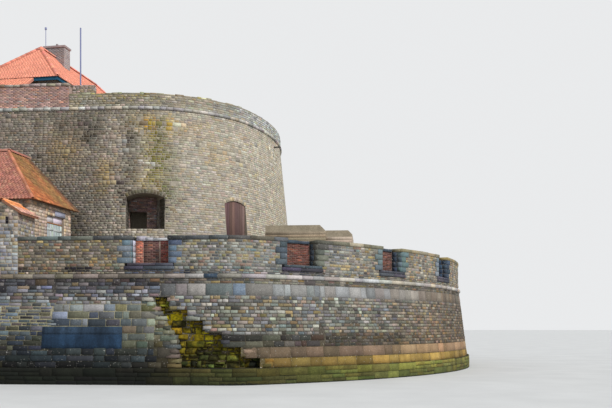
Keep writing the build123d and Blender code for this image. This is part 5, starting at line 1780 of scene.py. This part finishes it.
def annexe_stones(material, rng):
    """Rubble and coping of the ruined annexe, and a black block over its slit as painted shade inside it."""
    heap = Heap(rng)
    front, _ = face_wall((ANNEXE_LEFT, ANNEXE_FACE), (ANNEXE_RIGHT, ANNEXE_FACE))
    gap = square_gap(*ANNEXE_SLIT)
    small_stones(heap, front, ANNEXE_WIDTH, CORDON_TOP, ANNEXE_RIDGE, annexe_colour, [gap], height=0.15,
                 length=0.24, growth=0.15, proud=0.024, hue=0.9, top=annexe_outline)
    # Black block in the slit: painted shade of its dark inside
    slit = np.array([ANNEXE_SLIT])
    lay(heap, front, slit, shades(heap, slit, SLIT_PAINTED_SHADE, vary=0.02, hue=0.01), proud=0.004,
        joint=0.0, bevel=0.004, rough=0.2)
    for x, y0, y1, high in ((ANNEXE_RIGHT, ANNEXE_FACE, ANNEXE_BACK, ANNEXE_CORNER_TOP),
                            (ANNEXE_LEFT, ANNEXE_BACK, ANNEXE_FACE, ANNEXE_WALL_TOP)):
        side, depth = face_wall((x, y0), (x, y1))
        small_stones(heap, side, depth, CORDON_TOP, high, annexe_colour, height=0.15, length=0.26)
    edges = np.linspace(0, ANNEXE_COPING_END, ANNEXE_SLABS + 1)
    tops = np.full(ANNEXE_SLABS, ANNEXE_TOP)
    stones = np.column_stack([edges[:-1], edges[1:], tops, tops])
    spans = slab_spans(stones, 0.005, -0.45, 0.03, -0.03, 0.05 * heap.rng.uniform(0.5, 1, ANNEXE_SLABS))
    boxes(heap, front, spans, 0.015, shades(heap, spans, ANNEXE_COPING, vary=0.12, hue=0.05, growth=0.1))
    heap.build("annexe_stones", material)


def annexe_tiles(material, rng):
    heap = Heap(rng)
    eave = ANNEXE_EAVE + 0.11
    slope = Slope((ANNEXE_EAVE_X, ANNEXE_FACE - 0.06, eave), (ANNEXE_EAVE_X, ANNEXE_BACK, eave),
                  (ANNEXE_RIDGE_X, ANNEXE_FACE - 0.06, ANNEXE_RIDGE + 0.11))
    lay_tiles(heap, slope, 0.0, PARAPET_THICK + 0.06,
              lambda a, b: along(b, ANNEXE_TILE_FRONT, (0.45, 0.62, ANNEXE_TILE)), vary=0.12, short=0.02)
    cap_tiles(heap, (ANNEXE_RIDGE_X, ANNEXE_FACE - 0.05, ANNEXE_RIDGE + 0.08),
              (ANNEXE_RIDGE_X, ANNEXE_BACK, ANNEXE_RIDGE + 0.08), 0.09, ANNEXE_CAP)
    heap.build("annexe_tiles", material)


def annexe_dress(stone, tile):
    rng = np.random.default_rng(94)
    annexe_stones(stone, rng)
    annexe_tiles(tile, rng)


# Concrete shelter behind the near shoulder: a room and a lower wing set back from its face
SHELTER_X = SHOULDER_X + 3.84
SHELTER_Y = -HALF_WIDTH + 7.20
SHELTER_DEPTH = 3.0
SHELTER_LENGTH = 3.0
SHELTER_WING = 1.3
SHELTER_SET = 0.12
SHELTER_LEFT = SHELTER_X - SHELTER_LENGTH
SHELTER_RIGHT = SHELTER_X + SHELTER_WING
SHELTER_BACK = SHELTER_Y + SHELTER_DEPTH
SHELTER_WALL_TOP = 7.06
SHELTER_WING_TOP = 6.80
SHELTER_DOOR_HEIGHT = 1.9
BOARD_WIDTH = 0.15
BOARD_LENGTH = 2.2
CONCRETE_SHADED = (0.30, 0.238, 0.168)
CONCRETE_SUNNY = (0.49, 0.41, 0.32)


def shelter_boards(material):
    """Prints of the level shuttering boards on the concrete."""
    heap = Heap(95)
    wing = SHELTER_Y + SHELTER_SET
    door = SHELTER_RIGHT - SHELTER_LEFT - SHELTER_LENGTH / 2
    doorway = square_gap(door - DOOR_WIDTH / 2, door + DOOR_WIDTH / 2, 0, TERRACE + SHELTER_DOOR_HEIGHT)
    faces = [((SHELTER_LEFT, SHELTER_Y), (SHELTER_X, SHELTER_Y), SHELTER_WALL_TOP, [], CONCRETE_SHADED),
             ((SHELTER_X, wing), (SHELTER_RIGHT, wing), SHELTER_WING_TOP, [], CONCRETE_SUNNY),
             ((SHELTER_RIGHT, wing), (SHELTER_RIGHT, SHELTER_BACK), SHELTER_WING_TOP, [], CONCRETE_SUNNY),
             ((SHELTER_RIGHT, SHELTER_BACK), (SHELTER_LEFT, SHELTER_BACK), SHELTER_WING_TOP, [doorway],
              CONCRETE_SHADED),
             ((SHELTER_LEFT, SHELTER_BACK), (SHELTER_LEFT, SHELTER_Y), SHELTER_WALL_TOP, [], CONCRETE_SHADED)]
    for a, b, top, gaps, colour in faces:
        wall, length = face_wall(a, b)
        levels = levels_between(TERRACE, top, BOARD_WIDTH)
        boards = courses(heap.rng, levels, 0, length, BOARD_LENGTH, 0.3, gaps=gaps)
        tones = shades(heap, boards, colour, vary=0.07, hue=0.03, growth=0.12)
        lay(heap, wall, boards, tones, proud=0.008, joint=0.004, bevel=0.003, rough=0.5, sink=0.004)
    heap.build("shelter_board_prints", material)


# Paving

COURT_FLAG = (0.92, 0.61)
ROOF_FLAG = (0.82, 0.55)
COURT_STONE = (0.27, 0.245, 0.205)
ROOF_STONE = (0.31, 0.28, 0.235)


def inside_oval(x, y, half, side, turn, bow, straight, centre, out):
    """Whether points lie inside a three-centred plan that has been moved out by a distance."""
    run = np.abs(x - centre) - straight
    across = np.abs(y)
    nose = (bow - side) * math.sin(turn)
    on_side = (run > 0) & (np.hypot(run, across - (half - side)) < side + out)
    on_nose = np.hypot(run + nose, across) < bow + out
    return np.where(run <= 0, across < half + out, (on_side | on_nose) & (across < half + out))


def keep_inside(x, y, out):
    return inside_oval(x, y, KEEP_HALF, KEEP_SIDE, KEEP_TURN, KEEP_BOW, KEEP_FLANK, KEEP_X, out)


def in_block(x, y, low_x, high_x, low_y, high_y):
    return (x > low_x) & (x < high_x) & (y > low_y) & (y < high_y)


def in_turned(x, y, point, *block):
    """Whether points lie in a rectangle of a turned frame."""
    start = point(0, 0)
    ax = point(1, 0) - start
    ay = point(0, 1) - start
    u = (x - start[0]) * ax[0] + (y - start[1]) * ax[1]
    v = (x - start[0]) * ay[0] + (y - start[1]) * ay[1]
    return in_block(u, v, *block)


def flags(low_x, high_x, low_y, high_y, length, width):
    """Corners of paving slabs in running bond."""
    slabs = []
    for index, y in enumerate(np.arange(low_y, high_y - width, width)):
        starts = np.arange(low_x + (length / 2 if index % 2 else 0), high_x - length, length)
        count = len(starts)
        slabs.append(np.column_stack([starts, starts + length, np.full(count, y), np.full(count, y + width)]))
    return np.concatenate(slabs)


def lay_flags(name, slabs, level, open_floor, colour, material, seed):
    """Paving slabs whose corners and middle all lie on the open floor."""
    heap = Heap(seed)
    x0, x1, y0, y1 = slabs.T
    clear = np.ones(len(slabs), dtype=bool)
    for x, y in ((x0, y0), (x1, y0), (x1, y1), (x0, y1), ((x0 + x1) / 2, (y0 + y1) / 2)):
        clear &= open_floor(x, y)
    x0, x1, y0, y1 = slabs[clear].T
    top = level + 0.012 + 0.008 * heap.rng.uniform(-1, 1, len(x0))
    spans = np.column_stack([x0 + 0.008, x1 - 0.008, -y1 + 0.008, -y0 - 0.008,
                             np.full(len(x0), level - 0.02), top])
    tones = shades(heap, spans, colour, vary=0.15, hue=0.03, growth=0.12, hues=softer(KEEP_HUES, 0.5))
    boxes(heap, Wall(straight_line(0, 0, 0)), spans, 0.01, tones)
    heap.build(name, material)


def open_court(x, y):
    """Whether points lie on the terrace inside the parapet and outside every building."""
    inset = PARAPET_SET + PARAPET_THICK + 0.06
    nose = inside_oval(x, y, HALF_WIDTH, SHOULDER_RADIUS, SHOULDER_TURN, NOSE_RADIUS, 0, SHOULDER_X, -1.9)
    court = (x > inset - HALF_LENGTH) & (np.abs(y) < HALF_WIDTH - inset) & (nose | (x <= SHOULDER_X))
    house = in_turned(x, y, house_point, 0.2, HOUSE_LENGTH - 0.2, 0.2, HOUSE_BACK - 0.2)
    shelter = in_block(x, y, SHELTER_LEFT - 0.1, SHELTER_RIGHT + 0.1, SHELTER_Y - 0.1, SHELTER_BACK + 0.1)
    annexe = in_block(x, y, ANNEXE_LEFT - 0.1, ANNEXE_RIGHT + 0.1, -99, ANNEXE_BACK + 0.1)
    return court & ~(keep_inside(x, y, 1.0) | house | shelter | annexe)


def open_roof(x, y):
    """Whether points lie on the keep's roof terrace beside the guardhouse."""
    return keep_inside(x, y, -0.97) & ~in_turned(x, y, guard_point, -2.35, 2.35, -6.65, 6.65)


def paving(material):
    slabs = flags(-HALF_LENGTH, HALF_LENGTH, -HALF_WIDTH, HALF_WIDTH, *COURT_FLAG)
    lay_flags("court_flags", slabs, TERRACE, open_court, COURT_STONE, material, 61)
    slabs = flags(KEEP_X - 14, KEEP_X + 14, -KEEP_HALF, KEEP_HALF, *ROOF_FLAG)
    lay_flags("keep_roof_flags", slabs, KEEP_ROOF, open_roof, ROOF_STONE, material, 62)


# Finishes of the bodies under the stones: colours by height

MORTAR_ESCARP = [
    (0.0, (0.006, 0.007, 0.004)), (1.1, (0.012, 0.013, 0.010)), (1.7, (0.06, 0.055, 0.035)),
    (2.4, (0.26, 0.235, 0.14)), (3.2, (0.30, 0.27, 0.18)), (3.5, (0.05, 0.045, 0.04)),
    (4.4, (0.04, 0.036, 0.034)), (5.1, (0.17, 0.145, 0.10)), (6.2, (0.14, 0.125, 0.10)),
]
MORTAR_SEAWARD = [
    (0.0, (0.035, 0.035, 0.012)), (0.7, (0.08, 0.06, 0.02)), (2.0, (0.07, 0.06, 0.045)),
    (2.2, (0.065, 0.055, 0.042)), (3.5, (0.075, 0.065, 0.050)), (3.7, (0.16, 0.155, 0.145)),
    (4.4, (0.10, 0.09, 0.075)), (4.8, (0.14, 0.13, 0.12)), (5.1, (0.26, 0.235, 0.19)),
    (6.2, (0.20, 0.18, 0.15)),
]
MORTAR_KEEP = [
    (4.4, (0.10, 0.085, 0.07)), (8.0, (0.14, 0.12, 0.095)), (12.0, (0.17, 0.145, 0.12)),
    (14.7, (0.18, 0.16, 0.11)),
]
MORTAR_SUNNY = [
    (4.4, (0.27, 0.24, 0.19)), (8.0, (0.33, 0.29, 0.23)), (13.0, (0.35, 0.31, 0.245)),
    (14.7, (0.24, 0.21, 0.16)),
]
MORTAR_HOUSE = [(4.4, (0.30, 0.25, 0.19)), (8.0, (0.34, 0.27, 0.21)), (16.5, (0.30, 0.26, 0.21))]
MORTAR_BRICK = [(4.4, (0.30, 0.22, 0.18)), (9.0, (0.20, 0.14, 0.11)), (15.3, (0.40, 0.29, 0.25))]
PAVING = [(0.0, (0.18, 0.17, 0.14)), (4.4, (0.26, 0.24, 0.20)), (13.7, (0.30, 0.27, 0.23))]
TILE_BED = [
    (7.0, (0.22, 0.095, 0.055)), (10.8, (0.20, 0.09, 0.055)), (15.6, (0.66, 0.26, 0.18)),
    (19.2, (0.66, 0.26, 0.18)),
]
CONCRETE = [(4.4, (0.24, 0.19, 0.135)), (6.6, (0.37, 0.31, 0.23)), (7.7, (0.30, 0.25, 0.17))]
WOOD = [(4.4, (0.10, 0.065, 0.045)), (9.5, (0.09, 0.055, 0.048)), (15.7, (0.12, 0.08, 0.06))]
SHUTTER = [(5.4, (0.42, 0.43, 0.41)), (7.6, (0.46, 0.48, 0.47))]
SPOUT = [(12.0, (0.060, 0.055, 0.048)), (15.0, (0.085, 0.078, 0.068))]
FASCIA = [(16.2, (0.017, 0.085, 0.15)), (16.5, (0.020, 0.10, 0.17))]
FRAME_WHITE = [(15.0, (0.42, 0.42, 0.40)), (16.2, (0.50, 0.50, 0.48))]
POLE = [(13.8, (0.16, 0.18, 0.33)), (21.1, (0.20, 0.22, 0.38))]
CHIMNEY = [(16.4, (0.36, 0.28, 0.28)), (19.6, (0.42, 0.32, 0.31)), (19.9, (0.25, 0.20, 0.20))]
STONE_LOW = [(0.0, (0.008, 0.009, 0.005)), (0.7, (0.016, 0.018, 0.010))]
CORDON = [(4.3, (0.16, 0.15, 0.13)), (14.1, (0.22, 0.20, 0.17))]


def wall_mortar():
    return weathered("escarp_mortar", MORTAR_ESCARP, flecks=0.5, fleck=(0.42, 0.38, 0.32), contrast=0.5,
                     seaward=MORTAR_SEAWARD, turn=(SHOULDER_X - 3.5, SHOULDER_X - 0.5))


def keep_mortar():
    return weathered("keep_mortar", MORTAR_KEEP, flecks=0.4, fleck=(0.52, 0.48, 0.40), seaward=MORTAR_SUNNY,
                     turn=(KEEP_X + 1.5, KEEP_X + 7))


def paint(name, knots, contrast, growth, roughness=0.92):
    return weathered(name, knots, roughness, contrast=contrast, growth=growth)


GLASS_DARK = (0.018, 0.022, 0.028)
GLASS_PALE = (0.06, 0.065, 0.07)


def glass():
    f = Finish("window_glass", 0.12)
    colour = f.mix(f.range(f.noise(3.0, 5), 0.35, 0.7, 0, 1), GLASS_DARK, GLASS_PALE)
    return f.finish(colour, f.noise(1.2, 2), 0.04, 0.01)


BATTERY_BODIES = [
    "escarp_near_flank", "escarp_breached_shoulder", "escarp_bow", "escarp_far_flank", "escarp_gorge",
    "parapet_near_flank", "parapet_bow", "parapet_far_flank", "parapet_gorge",
]
KEEP_BODIES = [
    "keep_wall_near_bow", "keep_wall_far_bow", "keep_wall_near_flank", "keep_wall_far_flank",
    "keep_wall_stern", "keep_parapet_stone", "keep_parapet_stub",
]
HOUSE_BODIES = ["guardhouse_walls", "house_walls", "annexe_walls"]
BRICK_BODIES = ["embrasure_infills", "keep_parapet_brick", "recess_screens"]
TRIM_BODIES = [
    "battery_cordon", "keep_cordon", "merlon_copings", "embrasure_sills", "infill_capstones",
    "brick_parapet_coping",
]


def dress_nodes():
    """Give every body of the CAD its own finish."""
    finishes = {
        wall_mortar(): BATTERY_BODIES,
        keep_mortar(): KEEP_BODIES,
        weathered("house_mortar", MORTAR_HOUSE, flecks=0.3): HOUSE_BODIES,
        weathered("brick_mortar", MORTAR_BRICK): BRICK_BODIES,
        weathered("court_paving", PAVING, grain=18): ["terreplein", "keep_floor", "keep_roof_terrace"],
        weathered("tile_bed", TILE_BED): ["guardhouse_roof", "house_roof", "annexe_roof"],
        weathered("low_stone", STONE_LOW): ["foundation"],
        weathered("cordon_bed", CORDON): TRIM_BODIES,
        weathered("board_marked_concrete", CONCRETE,
                  growth=(0.32, 0.20, 0.05)): ["shelter_walls", "shelter_roof"],
        weathered("old_boards", WOOD, stretch=(6, 6, 0.6)): ["plank_doors"],
        paint("shutter_paint", SHUTTER, 0.15, (0.30, 0.16, 0.08)): ["house_shutters"],
        paint("fascia_paint", FASCIA, 0.2, (0.05, 0.07, 0.08)): ["guardhouse_fascia"],
        paint("frame_paint", FRAME_WHITE, 0.2, (0.30, 0.26, 0.2)): ["guardhouse_window_frames"],
        paint("pole_paint", POLE, 0.15, (0.2, 0.15, 0.12), 0.5): ["flagpole", "aerial"],
        weathered("chimney_brick", CHIMNEY): ["chimney"],
        paint("spout_lead", SPOUT, 0.2, (0.12, 0.12, 0.08), 0.7): ["roof_spout"],
        glass(): ["guardhouse_windows"],
    }
    for material, names in finishes.items():
        for name in names:
            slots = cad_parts[name].material_slots
            if not len(slots):
                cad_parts[name].data.materials.append(material)
            for entry in slots:
                entry.material = material


# Studio

FLOOR_DARK = (0.60, 0.60, 0.59)
FLOOR_PALE = (0.66, 0.66, 0.65)
FLOOR_SIZE = 900
SUN_SOFTNESS = math.radians(9)
SUN_ENERGY = 2.7
SUN_TURN = (math.radians(55), 0, math.radians(50))
FILL_LIGHT = 0.62
FILL_COLOUR = (0.92, 0.96, 1.0, 1)
SKY_LIGHT = 0.95
SKY_COLOUR = (0.86, 0.87, 0.88, 1)
CAMERA_PLACE = (13.84, -52.73, 2.4)
CAMERA_TURN = math.radians(4.5)
CAMERA_LENS = 48.82
CAMERA_SHIFT = 122 / 612


def plain_stage():
    bpy.ops.mesh.primitive_plane_add(size=FLOOR_SIZE, location=(0, 0, 0))
    floor = bpy.context.object
    floor.name = "studio_floor"
    f = Finish("pale_floor", 0.9)
    colour = f.mix(f.range(f.noise(0.4, 3), 0.3, 0.7, 0, 1), FLOOR_DARK, FLOOR_PALE)
    floor.data.materials.append(f.finish(colour, f.noise(6), 0.02, 0.01))


def soft_light():
    """A soft sun, and a sky that lights the fort less than it shows to the camera."""
    sun = bpy.data.lights.new("studio_sun", "SUN")
    sun.energy = SUN_ENERGY
    sun.angle = SUN_SOFTNESS
    lamp = bpy.data.objects.new("studio_sun", sun)
    lamp.rotation_euler = SUN_TURN
    bpy.context.collection.objects.link(lamp)
    world = bpy.data.worlds.new("studio_world")
    bpy.context.scene.world = world
    world.use_nodes = True
    nodes = world.node_tree.nodes
    links = world.node_tree.links
    path = nodes.new("ShaderNodeLightPath")
    seen = path.outputs["Is Camera Ray"]
    for ray in ("Is Glossy Ray", "Is Transmission Ray"):
        either = nodes.new("ShaderNodeMath")
        either.operation = "MAXIMUM"
        links.new(seen, either.inputs[0])
        links.new(path.outputs[ray], either.inputs[1])
        seen = either.outputs[0]
    fill = nodes["Background"]
    sky = nodes.new("ShaderNodeBackground")
    for node, colour, strength in ((fill, FILL_COLOUR, FILL_LIGHT), (sky, SKY_COLOUR, SKY_LIGHT)):
        node.inputs["Color"].default_value = colour
        node.inputs["Strength"].default_value = strength
    mixed = nodes.new("ShaderNodeMixShader")
    links.new(seen, mixed.inputs["Fac"])
    links.new(fill.outputs[0], mixed.inputs[1])
    links.new(sky.outputs[0], mixed.inputs[2])
    links.new(mixed.outputs[0], nodes["World Output"].inputs["Surface"])


def photo_camera():
    data = bpy.data.cameras.new("photo_camera")
    data.lens = CAMERA_LENS
    data.sensor_width = 36
    data.shift_y = CAMERA_SHIFT
    data.clip_end = 500
    camera = bpy.data.objects.new("photo_camera", data)
    camera.location = CAMERA_PLACE
    camera.rotation_euler = (math.pi / 2, 0, CAMERA_TURN)
    bpy.context.collection.objects.link(camera)
    bpy.context.scene.camera = camera


BATTERY_SIDES = [
    (battery_line, False, BACK_CORNER, NOSE_ARC), (battery_line, True, BACK_CORNER, NOSE_ARC),
    (gorge_line, False, -HALF_WIDTH, HALF_WIDTH),
]
KEEP_SIDES = [(keep_line, mirrored, -KEEP_ARC, KEEP_ARC) for mirrored in (False, True)]


def dress_battery_wall(stone, wet):
    breach = [breach_gap, square_gap(*BLUE_SLAB)]
    escarp_wall_stones("escarp_stones_near", NEAR_ESCARP, ESCARP_ZONES, breach, stone, 11)
    escarp_wall_stones("escarp_stones_far", FAR_ESCARP, ESCARP_ZONES, [], stone, 12)
    escarp_wall_stones("escarp_stones_gorge", GORGE_ESCARP, GORGE_ZONES, [], stone, 13, gorge_colour)
    breach_edges(stone)
    footing_stones(wet)
    core = weathered("mossy_core", contrast=0.85, grain=9, growth=(0.30, 0.22, 0.010), growth_scale=1.3)
    breach_core(core)
    blue_slab(weathered("smooth_slab", contrast=0.5, growth=(0.03, 0.035, 0.03), streak=0.5))


def dress_battery_top(stone, mossy, brick):
    parapet_stones(stone)
    opening_masonry(stone, brick)
    sill_slabs(stone)
    coping_stones(mossy)
    infill_caps(stone)


def dress_keep(stone, mossy, brick, wood):
    keep_stones(mossy)
    keep_parapet_stones(mossy, brick)
    recess_masonry(stone, brick)
    keep_arches(mossy)
    door_boards(wood)


def dress_buildings(stone, tile, wood):
    guardhouse_tiles(tile)
    house_tiles(tile)
    guardhouse_stones(stone)
    house_stones(stone)
    shutter_boards(wood)
    annexe_dress(stone, tile)
    shelter_boards(stone)


def main():
    stone = weathered("stone", flecks=0.35, streak=0.15)
    wet = weathered("wet_stone", growth=(0.16, 0.14, 0.008), growth_scale=3.0, contrast=0.6, streak=0.2)
    mossy = weathered("lichened_stone", growth=(0.33, 0.25, 0.05), flecks=0.4)
    brick = weathered("brick", grain=40, contrast=0.25, growth=(0.35, 0.30, 0.26))
    tile = weathered("roof_tile", grain=30, contrast=0.22, growth=(0.20, 0.17, 0.05))
    wood = weathered("board", stretch=(10, 10, 0.8), contrast=0.3, growth=(0.35, 0.30, 0.26))
    dress_nodes()
    dress_battery_wall(stone, wet)
    cordon_stones("battery_cordon_stones", BATTERY_SIDES, ESCARP_TOP, "battery_cordon", cordon_colour, stone,
                  22, 0.85)
    cordon_stones("keep_cordon_stones", KEEP_SIDES, KEEP_TOP, "keep_cordon", KEEP_CORDON, mossy, 23, 0.42)
    dress_battery_top(stone, mossy, brick)
    dress_keep(stone, mossy, brick, wood)
    dress_buildings(stone, tile, wood)
    brick_coping_slabs(mossy)
    stub_stones(stone)
    parapet_top_stones(mossy)
    chimney_bricks(brick)
    paving(stone)
    plain_stage()
    soft_light()
    photo_camera()
    bpy.context.scene.view_settings.view_transform = "Standard"


main()
